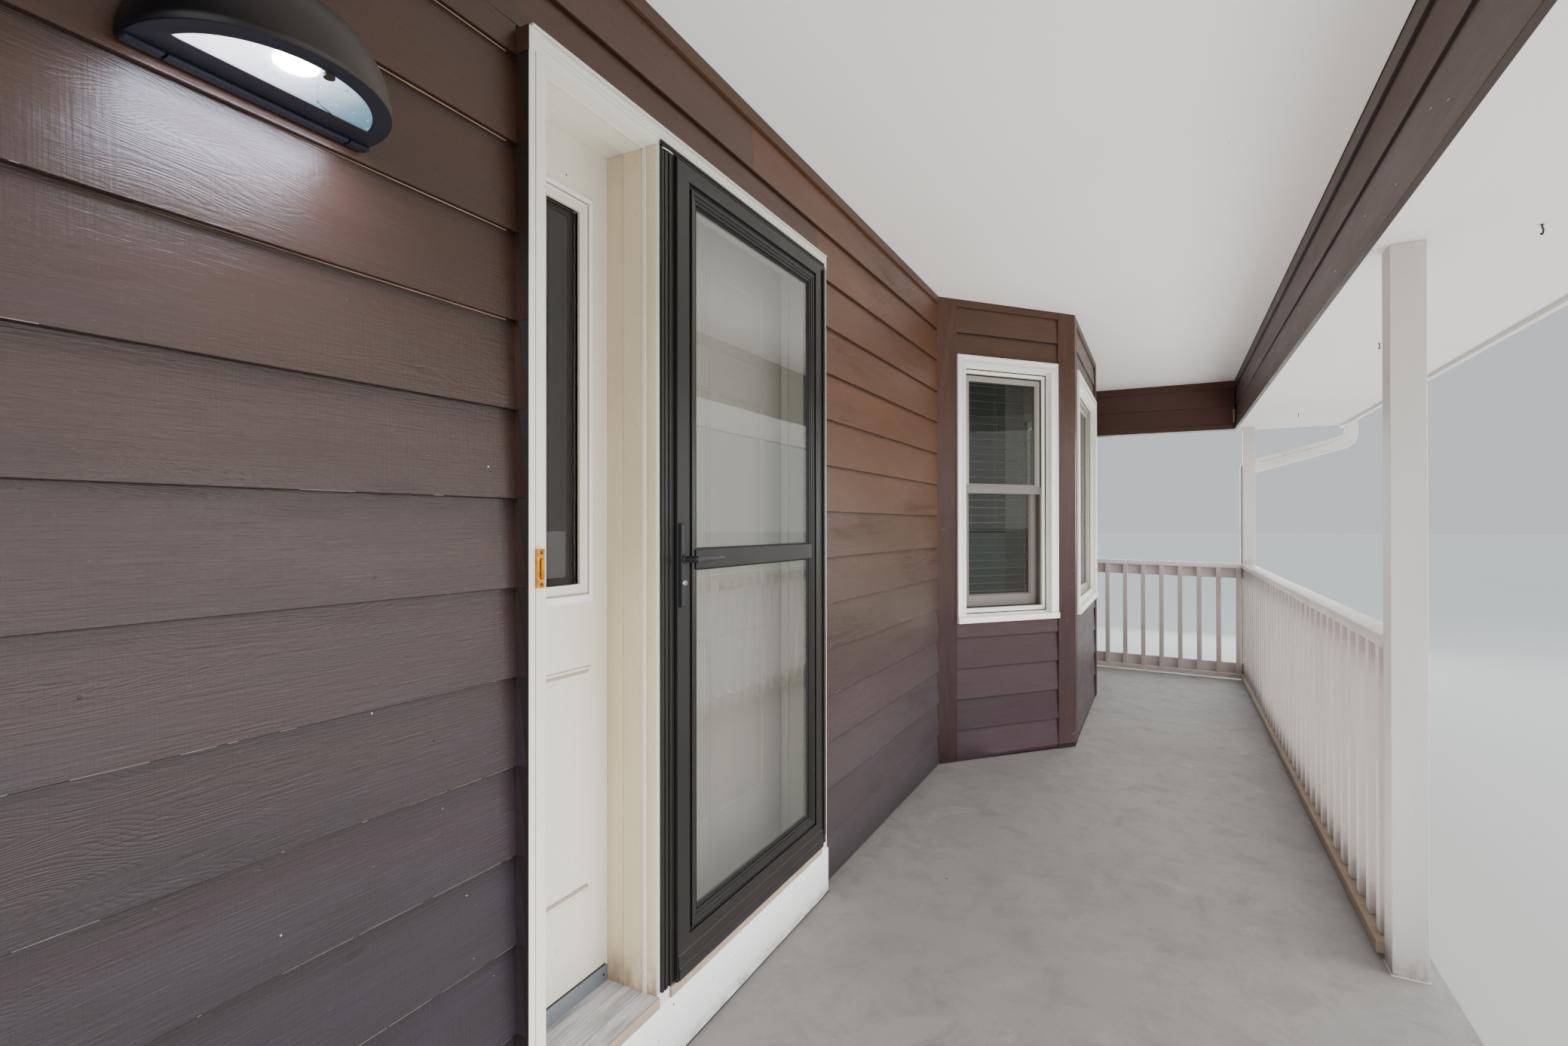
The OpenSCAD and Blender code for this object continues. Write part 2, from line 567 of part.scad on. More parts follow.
porch_slab();
foundation();
wall_left();
wall_over_door();
wall_right();
wall_upper();
bay_wall_near();
bay_wall_front();
bay_wall_far();
bay_floor();
wall_siding();
bay_siding();
corner_boards();
frieze_boards();
window_casings();
window_sashes();
window_glass();
window_blinds();
door_casing();
door_frame();
door_sill();
riser_board();
sidelight_panel();
entry_door();
entry_knob();
storm_frame();
storm_leaf();
storm_glass();
storm_handle_plate();
storm_lever();
doorbell();
wall_light_hood();
wall_light_lens();
porch_ceiling();
front_beam();
end_beams();
outer_soffit();
fascia_boards();
gutter();
downspout();
porch_posts();
rail_caps();
back_rails();
balusters();
roof_deck();
gable_walls();
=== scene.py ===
import bpy, bmesh, math, random
from mathutils import Vector, Matrix, noise


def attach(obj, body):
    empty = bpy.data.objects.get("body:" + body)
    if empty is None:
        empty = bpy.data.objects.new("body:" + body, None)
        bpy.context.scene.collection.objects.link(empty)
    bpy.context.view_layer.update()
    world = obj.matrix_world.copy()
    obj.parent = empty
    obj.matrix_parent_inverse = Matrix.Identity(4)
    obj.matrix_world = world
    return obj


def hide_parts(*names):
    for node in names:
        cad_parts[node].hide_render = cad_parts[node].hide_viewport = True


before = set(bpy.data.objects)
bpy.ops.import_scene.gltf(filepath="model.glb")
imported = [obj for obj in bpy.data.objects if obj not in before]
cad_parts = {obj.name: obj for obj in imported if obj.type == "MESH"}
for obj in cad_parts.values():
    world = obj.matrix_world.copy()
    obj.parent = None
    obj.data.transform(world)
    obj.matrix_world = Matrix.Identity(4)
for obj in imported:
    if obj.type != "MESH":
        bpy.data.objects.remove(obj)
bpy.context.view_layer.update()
scene = bpy.context.scene
rnd = random.Random(11)

# ------------------------------------------------------------------ camera
W, H, F = 2080, 1388, 980.0
YAW, PITCH, ROLL = math.radians(27.299), math.radians(0.2105), math.radians(-0.0618)
EYE = Vector((-3.7575, 0.0591, 1.490))
fwd = Vector((math.cos(YAW) * math.cos(PITCH), math.sin(YAW) * math.cos(PITCH), math.sin(PITCH)))
right0 = Vector((math.sin(YAW), -math.cos(YAW), 0))
up0 = right0.cross(fwd)
right = right0 * math.cos(ROLL) + up0 * math.sin(ROLL)
up = -right0 * math.sin(ROLL) + up0 * math.cos(ROLL)
cam_data = bpy.data.cameras.new("camera")
cam = bpy.data.objects.new("camera", cam_data)
scene.collection.objects.link(cam)
cam.matrix_world = Matrix(((right.x, up.x, -fwd.x, EYE.x), (right.y, up.y, -fwd.y, EYE.y), (right.z, up.z, -fwd.z, EYE.z), (0, 0, 0, 1)))
cam_data.sensor_fit = "HORIZONTAL"
cam_data.sensor_width = 36
cam_data.lens = F / W * 36
cam_data.clip_start = 0.02
cam_data.clip_end = 200
scene.camera = cam

# ------------------------------------------------------------------ CAD numbers, in the part's own millimetres
CX, CY = 4007.5, -1178.5
LEN = 8015
SLAB, ZC, ZS, ZT = 160, 2769, 2341, 2781
LAP, LAP_Z0 = 173.2, 157.5
BAY_LAP, BAY_Z0 = 173.0, 161.5
BAY_X, BAY_RUN, BAY_D, BAY_W = 4307, 737, 634, 1576
BAY_MID = BAY_X + BAY_RUN + BAY_W / 2
BA = math.atan2(BAY_D, BAY_RUN)
CB, SB = math.cos(BA), math.sin(BA)
FRIEZE, BAY_FRIEZE = 2730, 2728
UNIT_L, UNIT_R, SIDE_L, SIDE_R, DOOR_L, DOOR_R = 1290, 2697, 1337, 1699, 1745, 2645
SILL_Z, HEAD_Z, CAS_TOP = 352, 2417, 2468


def row(p):
    return Vector(((p[0] - CX) / 1000, (p[1] - CY) / 1000, p[2] / 1000))


def f_main(u, d, z):
    return (u, d, z)


def f_near(u, d, z):
    return (BAY_X + u * CB + d * SB, -u * SB + d * CB, z)


def f_far(u, d, z):
    p = f_near(u, d, z)
    return (2 * BAY_MID - p[0], p[1], p[2])


def f_front(u, d, z):
    return (u, -BAY_D + d, z)


def fall(y):
    return SLAB + 0.0186 * y


# ------------------------------------------------------------------ node helpers
class NT:
    """short calls for building a node tree"""

    def __init__(self, mat):
        self.t = mat.node_tree
        self.t.nodes.clear()
        self.out = self.t.nodes.new("ShaderNodeOutputMaterial")

    def n(self, kind, ins=None, **props):
        nd = self.t.nodes.new(kind)
        for k, v in props.items():
            setattr(nd, k, v)
        for k, v in (ins or {}).items():
            s = nd.inputs[k]
            if isinstance(v, bpy.types.NodeSocket):
                self.t.links.new(v, s)
            else:
                s.default_value = v
        return nd

    def mth(self, op, a, b=0.5, c=None, clamp=False):
        nd = self.n("ShaderNodeMath", {0: a, 1: b}, operation=op, use_clamp=clamp)
        if c is not None:
            if isinstance(c, bpy.types.NodeSocket):
                self.t.links.new(c, nd.inputs[2])
            else:
                nd.inputs[2].default_value = c
        return nd.outputs[0]

    def mix(self, f, a, b, mode="MIX"):
        nd = self.n("ShaderNodeMix", data_type="RGBA", blend_type=mode)
        for s, v in ((nd.inputs[0], f), (nd.inputs[6], a), (nd.inputs[7], b)):
            if isinstance(v, bpy.types.NodeSocket):
                self.t.links.new(v, s)
            elif isinstance(v, (int, float)):
                s.default_value = v
            else:
                s.default_value = (*v[:3], 1)
        return nd.outputs[2]

    def ramp(self, fac, stops):
        nd = self.n("ShaderNodeValToRGB", {0: fac})
        el = nd.color_ramp.elements
        while len(el) < len(stops):
            el.new(0.5)
        for e, (p, c) in zip(el, stops):
            e.position = p
            e.color = (c, c, c, 1) if isinstance(c, (int, float)) else (*c[:3], 1)
        return nd.outputs[0]

    def scl(self, vec, s, loc=(0, 0, 0)):
        return self.n("ShaderNodeMapping", {0: vec, 1: loc, 3: s}).outputs[0]

    def noise(self, vec, scale=1.0, detail=3.0, rough=0.5, dist=0.0):
        return self.n("ShaderNodeTexNoise", {"Vector": vec, "Scale": scale, "Detail": detail, "Roughness": rough, "Distortion": dist}).outputs[0]

    def bump(self, h, strength, dist, normal=None):
        ins = {"Height": h, "Strength": strength, "Distance": dist}
        if normal is not None:
            ins["Normal"] = normal
        return self.n("ShaderNodeBump", ins).outputs[0]

    def attr(self, name, out=1):
        return self.n("ShaderNodeAttribute", attribute_name=name).outputs[out]

    def obj(self):
        return self.n("ShaderNodeTexCoord").outputs[3]

    def bsdf(self, color, rough, normal=None, **kw):
        ins = {"Base Color": color, "Roughness": rough}
        if normal is not None:
            ins["Normal"] = normal
        b = self.n("ShaderNodeBsdfPrincipled")
        for k, v in {**ins, **kw}.items():
            s = b.inputs[k]
            if isinstance(v, bpy.types.NodeSocket):
                self.t.links.new(v, s)
            elif s.type == "RGBA":
                s.default_value = (*v[:3], 1)
            else:
                s.default_value = v
        self.t.links.new(b.outputs[0], self.out.inputs[0])
        return b


MATS = {}


def mat(name):
    m = bpy.data.materials.new(name)
    m.use_nodes = True
    MATS[name] = m
    return NT(m)


def lin(r, g, b):
    return tuple((c / 255 / 12.92) if c / 255 <= 0.04045 else ((c / 255 + 0.055) / 1.055) ** 2.4 for c in (r, g, b))


# ------------------------------------------------------------------ materials
def m_siding(name, ca, cb, cc, rough=0.40, bump=1.0, ring_k=1.0, saw_k=0.18, shift=1.0, tones=(0.90, 1.08), spec=0.40, height_light_mul=None, lap=None, underside_shade=0.0):
    """solid stain on rough-sawn bevel boards; the gc attribute runs along each board. The colour is bluer and greyer
    low on the wall and warmer high up, with each wall's own height ramp on top: painted light, for the sky's sheen on
    the lower boards and for how the light falls on each wall"""
    g = mat(name)
    v = g.attr("gc")
    tone = g.attr("tone", 2)
    broad = g.noise(g.scl(v, (1.1, 5, 1)), 1, 3)
    patch = g.noise(g.scl(v, (3.5, 16, 1)), 1, 4, 0.6)
    fine = g.noise(g.scl(v, (5, 300, 1)), 1, 5, 0.62)
    saw = g.noise(g.scl(v, (240, 9, 1)), 1, 2, 0.5)
    brush = g.noise(g.scl(v, (26, 150, 1), (3, 1, 0)), 1, 3, 0.6, 0.7)
    warp = g.noise(g.scl(v, (1.6, 7, 1)), 1, 2)
    ring_v = g.n("ShaderNodeCombineXYZ", {0: g.mth("MULTIPLY", warp, 2.6), 1: g.n("ShaderNodeSeparateXYZ", {0: v}).outputs[1]}).outputs[0]
    ring = g.n("ShaderNodeTexWave", {"Vector": ring_v, "Scale": 9.0, "Distortion": 2.2, "Detail": 2.0, "Detail Scale": 1.4}, bands_direction="X").outputs[1]
    ring = g.mth("POWER", ring, 3.0)
    where = g.ramp(g.noise(g.scl(v, (0.9, 3.4, 1), (3, 7, 0)), 1, 1), [(0.50, 0.0), (0.64, 1.0)])
    ringw = g.mth("MULTIPLY", g.mth("MULTIPLY", ring, where), ring_k)
    base = g.mix(g.ramp(broad, [(0.3, 0.0), (0.7, 1.0)]), ca, cb)
    base = g.mix(g.mth("MULTIPLY", g.ramp(patch, [(0.48, 0.0), (0.72, 1.0)]), 0.6), base, cc)
    base = g.mix(g.mth("MULTIPLY", g.ramp(fine, [(0.35, 1.0), (0.60, 0.0)]), 0.42), base, tuple(c * 0.52 for c in ca))
    base = g.mix(g.mth("MULTIPLY", g.ramp(fine, [(0.58, 0.0), (0.74, 1.0)]), 0.20), base, tuple(min(1, c * 1.7) for c in cc))
    base = g.mix(g.mth("MULTIPLY", ringw, 0.40), base, tuple(c * 0.5 for c in ca))
    base = g.mix(1.0, base, g.ramp(tone, [(0.0, tones[0]), (1.0, tones[1])]), "MULTIPLY")
    if shift:
        # colour by height: bluer low down, warmer high up, painted light for the sky's sheen on the lower boards and
        # the light on the upper wall; the second ramp below adds each wall's own painted light by height
        z = g.n("ShaderNodeSeparateXYZ", {0: g.obj()}).outputs[2]
        zt_n = g.n("ShaderNodeMapRange", {0: z, 1: 0.2, 2: 2.7, 3: 0.0, 4: 1.0}).outputs[0]
        tint = g.ramp(zt_n, [(0.0, (0.70, 1.00, 1.55)), (0.25, (0.76, 0.97, 1.34)), (0.45, (0.90, 0.97, 1.08)), (0.72, (1.0, 0.92, 0.80)), (1.0, (0.98, 0.84, 0.66))])
        base = g.mix(shift, base, tint, "MULTIPLY")
        if height_light_mul:
            base = g.mix(1.0, base, g.ramp(zt_n, height_light_mul), "MULTIPLY")
    # knots and old nail stains
    vor = g.n("ShaderNodeTexVoronoi", {"Vector": g.scl(v, (1.7, 5.2, 1)), "Scale": 1.0, "Randomness": 1.0})
    spot = g.ramp(vor.outputs[0], [(0.0, 1.0), (0.03, 0.8), (0.055, 0.0)])
    halo = g.ramp(g.noise(g.scl(v, (9, 30, 1), (8, 2, 0)), 1, 2, 0.5), [(0.70, 0.0), (0.80, 1.0)])
    base = g.mix(g.mth("MULTIPLY", spot, 0.6), base, tuple(c * 0.28 for c in ca))
    base = g.mix(g.mth("MULTIPLY", halo, 0.35), base, tuple(c * 0.5 for c in ca))
    dust = g.ramp(g.noise(g.scl(v, (60, 90, 1)), 1, 2, 0.7), [(0.70, 0.0), (0.80, 1.0)])
    base = g.mix(g.mth("MULTIPLY", dust, 0.12), base, lin(176, 166, 158))
    if underside_shade:
        # faces that point down are darkened: painted shade on the underside
        nz = g.mth("MULTIPLY", g.n("ShaderNodeSeparateXYZ", {0: g.n("ShaderNodeTexCoord").outputs[1]}).outputs[2], -1.0)
        base = g.mix(g.mth("MULTIPLY", g.ramp(nz, [(0.4, 0.0), (0.8, 1.0)]), underside_shade), base, tuple(c * 0.30 for c in ca))
    if lap:
        # painted shade under the laps: the strip just under each lap and the board's bottom edge are darkened; with the
        # last flag set, it fades out lower down the wall
        zl = g.n("ShaderNodeSeparateXYZ", {0: g.obj()}).outputs[2]
        fr = g.mth("FRACT", g.mth("DIVIDE", g.mth("SUBTRACT", zl, lap[0]), lap[1]))
        lap_shade = g.ramp(fr, [(0.0, 1.0), (0.010, 0.0), (lap[2], 0.0), (lap[3], 0.45), (0.972, 0.92), (1.0, 1.0)])
        if lap[4]:
            lap_shade = g.mth("MULTIPLY", lap_shade, g.ramp(zt_n, [(0.40, 0.55), (0.62, 1.0)]))
        base = g.mix(g.mth("MULTIPLY", lap_shade, 0.62), base, tuple(c * 0.22 for c in ca))
    h = g.mth("ADD", g.mth("MULTIPLY", fine, 0.55), g.mth("MULTIPLY", ringw, -0.55))
    h = g.mth("ADD", h, g.mth("MULTIPLY", saw, saw_k))
    h = g.mth("ADD", h, g.mth("MULTIPLY", brush, 0.5))
    h = g.mth("ADD", h, g.mth("MULTIPLY", spot, -0.6))
    h = g.mth("ADD", h, g.mth("MULTIPLY", patch, 0.6))
    nrm = g.bump(h, 0.55 * bump, 0.0012)
    ro = g.mth("ADD", g.mth("MULTIPLY", patch, 0.22), rough - 0.11)
    g.bsdf(base, ro, nrm, **{"Specular IOR Level": spec})


WALL_LAP_SHADE = (LAP_Z0 / 1000, LAP / 1000, 0.90, 0.945, False)
m_siding("siding_near", lin(65, 46, 38), lin(57, 41, 34), lin(61, 48, 45), rough=0.36, bump=1.5, ring_k=0.28, saw_k=0.34, tones=(0.95, 1.05),
         height_light_mul=[(0.15, (0.98, 1.05, 1.30)), (0.30, (1.04, 1.13, 1.40)), (0.43, (0.98, 1.03, 1.22)), (0.50, (0.96, 0.96, 1.06)), (0.56, (0.86, 0.81, 0.82)), (0.70, (0.90, 0.86, 0.86)), (1.0, (0.98, 0.94, 0.84))],
         lap=(LAP_Z0 / 1000, LAP / 1000, 0.74, 0.90, True))
m_siding("siding_warm", lin(88, 58, 40), lin(77, 49, 33), lin(82, 60, 47), bump=1.5, ring_k=1.3, saw_k=0.55, tones=(0.88, 1.10),
         height_light_mul=[(0.12, (0.78, 1.0, 1.45)), (0.27, (0.75, 0.92, 1.22)), (0.38, (0.79, 0.90, 0.97)), (0.45, (0.97, 1.02, 0.96)), (0.54, (1.04, 0.99, 0.79)), (0.67, (1.24, 1.17, 0.94)), (0.85, (1.33, 1.27, 1.12)), (1.0, (1.12, 1.06, 0.95))],
         lap=WALL_LAP_SHADE)
m_siding("siding_mid", lin(77, 52, 40), lin(69, 47, 36), lin(72, 53, 45), ring_k=0.4, saw_k=0.4, tones=(0.92, 1.06), lap=WALL_LAP_SHADE)
m_siding("siding_gable", lin(77, 52, 40), lin(69, 47, 36), lin(72, 53, 45), ring_k=0.4, saw_k=0.4, tones=(0.92, 1.06))
m_siding("siding_bay", lin(74, 49, 41), lin(66, 43, 36), lin(71, 52, 47), ring_k=0.9, saw_k=0.45, tones=(0.86, 1.12), shift=0.7, spec=0.26,
         height_light_mul=[(0.10, (0.90, 0.94, 1.18)), (0.35, (0.92, 0.96, 1.14)), (0.60, (1.2, 1.26, 1.3)), (0.85, (1.66, 2.10, 2.20)), (1.0, (1.66, 2.08, 2.16))],
         lap=(0.1615, 0.173, 0.90, 0.945, False))
m_siding("trim_brown", lin(64, 43, 36), lin(58, 38, 32), lin(62, 45, 39), rough=0.46, ring_k=0.3, shift=0.5, spec=0.22,
         height_light_mul=[(0.10, (0.86, 0.80, 0.88)), (0.30, (0.92, 0.90, 0.98)), (0.46, (0.92, 0.95, 0.95)), (0.65, (1.25, 1.35, 1.35)), (0.87, (1.82, 2.20, 2.15)), (1.0, (1.78, 2.10, 2.05))])
m_siding("beam_brown", lin(78, 58, 50), lin(70, 51, 44), lin(74, 59, 53), rough=0.5, ring_k=0.3, shift=0, spec=0.3, underside_shade=0.9)
m_siding("beam_dark", lin(74, 48, 41), lin(68, 43, 36), lin(70, 50, 43), rough=0.5, ring_k=0.3, shift=0, spec=0.3)


def m_paint(name, col, col2, rough=0.38, dirt=lin(150, 140, 124), damt=0.25, bump=0.3, foot=None, chips=0.0, side=None):
    """brush-painted wood with a faint grain under the paint, dirt specks and, with foot, grime that fades upwards"""
    g = mat(name)
    v = g.attr("gc")
    brush = g.noise(g.scl(v, (5, 260, 260)), 1, 3, 0.55)
    broad = g.noise(g.scl(v, (2.2, 6, 6)), 1, 3)
    speck = g.ramp(g.noise(g.scl(v, (95, 95, 95)), 1, 1, 0.6), [(0.70, 0.0), (0.78, 1.0)])
    base = g.mix(g.ramp(broad, [(0.3, 0.0), (0.7, 1.0)]), col, col2)
    base = g.mix(g.mth("MULTIPLY", g.ramp(brush, [(0.36, 1.0), (0.6, 0.0)]), 0.10), base, tuple(c * 0.7 for c in col2))
    base = g.mix(g.mth("MULTIPLY", speck, damt), base, dirt)
    h = g.mth("ADD", brush, g.mth("MULTIPLY", broad, 0.6))
    if chips:
        chip = g.ramp(g.noise(g.scl(v, (22, 60, 60)), 1, 4, 0.7), [(0.665, 0.0), (0.69, 1.0)])
        base = g.mix(g.mth("MULTIPLY", chip, chips), base, lin(150, 134, 118))
        h = g.mth("SUBTRACT", h, g.mth("MULTIPLY", chip, 1.4))
    if foot:
        z = g.n("ShaderNodeSeparateXYZ", {0: g.obj()}).outputs[2]
        low = g.n("ShaderNodeMapRange", {0: z, 1: foot[0], 2: foot[1], 3: 1.0, 4: 0.0}).outputs[0]
        gr = g.mth("MULTIPLY", low, g.ramp(g.noise(g.scl(v, (14, 30, 30)), 1, 4, 0.7), [(0.36, 0.0), (0.62, 1.0)]))
        base = g.mix(g.mth("MULTIPLY", gr, 0.8), base, foot[2])
    if side:
        # side faces that face along x are made darker and beiger: painted shade between the balusters
        nx = g.mth("ABSOLUTE", g.n("ShaderNodeSeparateXYZ", {0: g.n("ShaderNodeTexCoord").outputs[1]}).outputs[0], 0.0)
        side_face_shade = g.mth("MULTIPLY", g.ramp(nx, [(0.5, 0.0), (0.9, 1.0)]), g.ramp(g.noise(g.scl(v, (3, 20, 20), (2, 6, 0)), 1, 3, 0.6), [(0.3, 0.72), (0.7, 1.0)]))
        base = g.mix(g.mth("MULTIPLY", side_face_shade, side[0]), base, side[1])
    nrm = g.bump(h, bump, 0.0005)
    g.bsdf(base, g.mth("ADD", g.mth("MULTIPLY", broad, 0.16), rough - 0.08), nrm)


m_paint("white_trim", lin(224, 221, 209), lin(216, 213, 201), 0.34, damt=0.2)
m_paint("white_cas", lin(228, 225, 212), lin(219, 216, 204), 0.36, damt=0.3)
m_paint("window_white", lin(244, 243, 238), lin(238, 237, 231), 0.32, damt=0.25)
# the three sash paints below are the window white made darker step by step, painted shade: the frame's strips, the
# upper sash and, darkest, the lower sash that sits deeper in the frame
m_paint("sash_cream", lin(196, 190, 174), lin(184, 178, 164), 0.4, damt=0.3)
m_paint("sash_painted_half_shade", lin(154, 148, 137), lin(143, 137, 127), 0.42, damt=0.3)
m_paint("sash_painted_shade", lin(112, 105, 100), lin(101, 95, 91), 0.45, damt=0.35)
m_paint("cream_board", lin(222, 209, 179), lin(213, 199, 168), 0.42, damt=0.35, foot=(0.35, 0.46, lin(140, 104, 78)))
m_paint("cream_light", lin(228, 224, 210), lin(220, 216, 200), 0.36, damt=0.3)
# a darker cream for the hollows of the sidelight's mouldings: painted shade
m_paint("cream_painted_shade", lin(172, 163, 146), lin(160, 151, 134), 0.5, damt=0.5)
m_paint("riser_white", lin(246, 246, 246), lin(240, 240, 240), 0.36, dirt=lin(120, 116, 110), damt=0.7, foot=(0.16, 0.205, lin(138, 132, 124)), chips=0.25)
# the posts take a slightly darker white than the rails: painted shade
m_paint("post_paint", lin(206, 200, 196), lin(198, 192, 188), 0.4, damt=0.35, foot=(0.13, 0.20, lin(128, 112, 96)))
m_paint("rail_paint", lin(214, 206, 205), lin(202, 194, 193), 0.5, dirt=lin(120, 108, 98), damt=0.55, foot=(0.13, 0.26, lin(134, 120, 106)), chips=0.35, side=(0.85, lin(172, 158, 150)))
m_paint("cap_paint", lin(216, 208, 206), lin(198, 190, 188), 0.5, dirt=lin(110, 98, 88), damt=0.6, chips=0.3)
m_paint("entry_paint", lin(216, 208, 196), lin(208, 200, 188), 0.38, damt=0.1)
m_paint("fascia_paint", lin(216, 210, 204), lin(208, 202, 196), 0.42, damt=0.35)
m_paint("plaster", lin(206, 200, 190), lin(198, 192, 182), 0.8, damt=0.05, bump=0.2)


def m_ceiling(name, col, col2):
    g = mat(name)
    v = g.obj()
    broad = g.noise(g.scl(v, (0.7, 0.7, 0.7)), 1, 3)
    roller = g.noise(v, 260, 2, 0.5)
    vor = g.n("ShaderNodeTexVoronoi", {"Vector": v, "Scale": 3.1, "Randomness": 1.0})
    spot = g.ramp(vor.outputs[0], [(0.0, 1.0), (0.010, 1.0), (0.018, 0.0)])
    vor2 = g.n("ShaderNodeTexVoronoi", {"Vector": g.scl(v, (1, 1, 1), (9, 4, 0)), "Scale": 9.0, "Randomness": 1.0})
    spot2 = g.ramp(vor2.outputs[0], [(0.0, 1.0), (0.012, 1.0), (0.022, 0.0)])
    base = g.mix(g.ramp(broad, [(0.3, 0.0), (0.7, 1.0)]), col, col2)
    base = g.mix(g.mth("MULTIPLY", spot, 0.55), base, lin(110, 98, 88))
    base = g.mix(g.mth("MULTIPLY", spot2, 0.35), base, lin(140, 130, 120))
    g.bsdf(base, 0.72, g.bump(roller, 0.12, 0.0004))


m_ceiling("ceiling", lin(240, 236, 232), lin(234, 230, 226))
m_ceiling("soffit", lin(217, 213, 210), lin(211, 207, 204))


def m_concrete():
    g = mat("slab")
    v = g.obj()
    broad = g.noise(v, 1.3, 5, 0.6)
    mid = g.noise(v, 7.0, 5, 0.65, 0.4)
    grain = g.noise(v, 330, 3, 0.7)
    broom = g.noise(g.scl(v, (260, 5, 5)), 1, 3, 0.6)
    base = g.mix(g.ramp(broad, [(0.30, 0.0), (0.70, 1.0)]), lin(158, 154, 151), lin(142, 138, 136))
    base = g.mix(g.mth("MULTIPLY", g.ramp(mid, [(0.48, 0.0), (0.75, 1.0)]), 0.55), base, lin(120, 115, 111))
    stain = g.ramp(g.noise(g.scl(v, (1, 1, 1), (4, 2, 0)), 2.7, 6, 0.72, 0.8), [(0.60, 0.0), (0.68, 1.0)])
    base = g.mix(g.mth("MULTIPLY", stain, 0.28), base, lin(101, 90, 80))
    light = g.ramp(g.noise(g.scl(v, (1, 1, 1), (1, 8, 0)), 4.2, 5, 0.7, 0.5), [(0.58, 0.0), (0.72, 1.0)])
    base = g.mix(g.mth("MULTIPLY", light, 0.4), base, lin(178, 175, 172))
    base = g.mix(g.mth("MULTIPLY", g.ramp(grain, [(0.34, 1.0), (0.5, 0.0)]), 0.30), base, lin(106, 101, 97))
    vor = g.n("ShaderNodeTexVoronoi", {"Vector": v, "Scale": 7.0, "Randomness": 1.0})
    debris = g.ramp(vor.outputs[0], [(0.0, 1.0), (0.030, 1.0), (0.045, 0.0)])
    keep = g.ramp(g.noise(v, 2.1, 2), [(0.55, 0.0), (0.58, 1.0)])
    base = g.mix(g.mth("MULTIPLY", g.mth("MULTIPLY", debris, keep), 0.8), base, lin(62, 48, 38))
    # soil and splash marks along the wall foot
    y = g.n("ShaderNodeSeparateXYZ", {0: v}).outputs[1]
    near = g.n("ShaderNodeMapRange", {0: y, 1: 1.06, 2: 1.18, 3: 0.0, 4: 1.0}).outputs[0]
    base = g.mix(g.mth("MULTIPLY", g.mth("MULTIPLY", near, mid), 0.5), base, lin(104, 94, 86))
    h = g.mth("ADD", g.mth("MULTIPLY", grain, 0.5), g.mth("ADD", g.mth("MULTIPLY", broom, 0.7), g.mth("MULTIPLY", mid, 0.8)))
    g.bsdf(base, g.mth("ADD", g.mth("MULTIPLY", mid, 0.2), 0.62), g.bump(h, 0.5, 0.0012))


m_concrete()


def m_found():
    g = mat("foundation")
    v = g.obj()
    a = g.noise(v, 5, 5, 0.6)
    b = g.noise(v, 160, 3, 0.7)
    pit = g.ramp(g.n("ShaderNodeTexVoronoi", {"Vector": v, "Scale": 45.0}).outputs[0], [(0.0, 1.0), (0.1, 0.6), (0.16, 0.0)])
    base = g.mix(a, lin(150, 146, 140), lin(126, 121, 114))
    base = g.mix(g.mth("MULTIPLY", pit, 0.5), base, lin(96, 90, 84))
    g.bsdf(base, 0.85, g.bump(g.mth("SUBTRACT", b, g.mth("MULTIPLY", pit, 1.5)), 0.5, 0.001))


m_found()


def m_metal_paint(name, col, rough, bump=0.12, spec=0.5, dirt=None):
    g = mat(name)
    v = g.obj()
    peel = g.noise(v, 520, 2, 0.5)
    broad = g.noise(v, 6, 4, 0.6)
    base = g.mix(g.ramp(broad, [(0.3, 0.0), (0.7, 1.0)]), col, tuple(c * 0.86 for c in col))
    if dirt:
        streak = g.ramp(g.noise(g.scl(v, (40, 40, 5)), 1, 4, 0.7), [(0.58, 0.0), (0.74, 1.0)])
        base = g.mix(g.mth("MULTIPLY", streak, 0.4), base, dirt)
    g.bsdf(base, g.mth("ADD", g.mth("MULTIPLY", broad, 0.15), rough - 0.07), g.bump(peel, bump, 0.0003), **{"Specular IOR Level": spec})


m_metal_paint("bronze", lin(37, 35, 33), 0.36, spec=0.32, dirt=lin(50, 48, 45))
m_metal_paint("bronze_dark", lin(18, 18, 18), 0.4, spec=0.3)
m_metal_paint("gasket", lin(12, 12, 13), 0.62)
m_metal_paint("track_grey", lin(92, 83, 77), 0.6)
m_metal_paint("black_metal", lin(34, 34, 37), 0.34)


def m_hood():
    """black powder coat, with dust on the side that faces away from the weather"""
    g = mat("hood_black")
    v = g.obj()
    peel = g.noise(v, 520, 2, 0.5)
    x = g.n("ShaderNodeSeparateXYZ", {0: v}).outputs[0]
    side = g.n("ShaderNodeMapRange", {0: x, 1: (690 - CX) / 1000, 2: (965 - CX) / 1000, 3: 0.0, 4: 1.0}).outputs[0]
    dust = g.mth("MULTIPLY", side, g.ramp(g.noise(v, 24, 4, 0.6), [(0.2, 0.75), (0.8, 1.0)]))
    base = g.mix(dust, lin(13, 13, 17), lin(72, 64, 58))
    g.bsdf(base, g.mth("ADD", g.mth("MULTIPLY", dust, 0.22), 0.30), g.bump(peel, 0.12, 0.0003), **{"Specular IOR Level": 0.24})


m_hood()
m_metal_paint("rim_charcoal", lin(36, 38, 48), 0.42, spec=0.4)
m_metal_paint("white_metal", lin(214, 209, 204), 0.36, dirt=lin(150, 142, 132))
m_metal_paint("strip_grey", lin(120, 126, 134), 0.4, dirt=lin(70, 62, 54))
m_metal_paint("hook_dark", lin(36, 31, 28), 0.45)


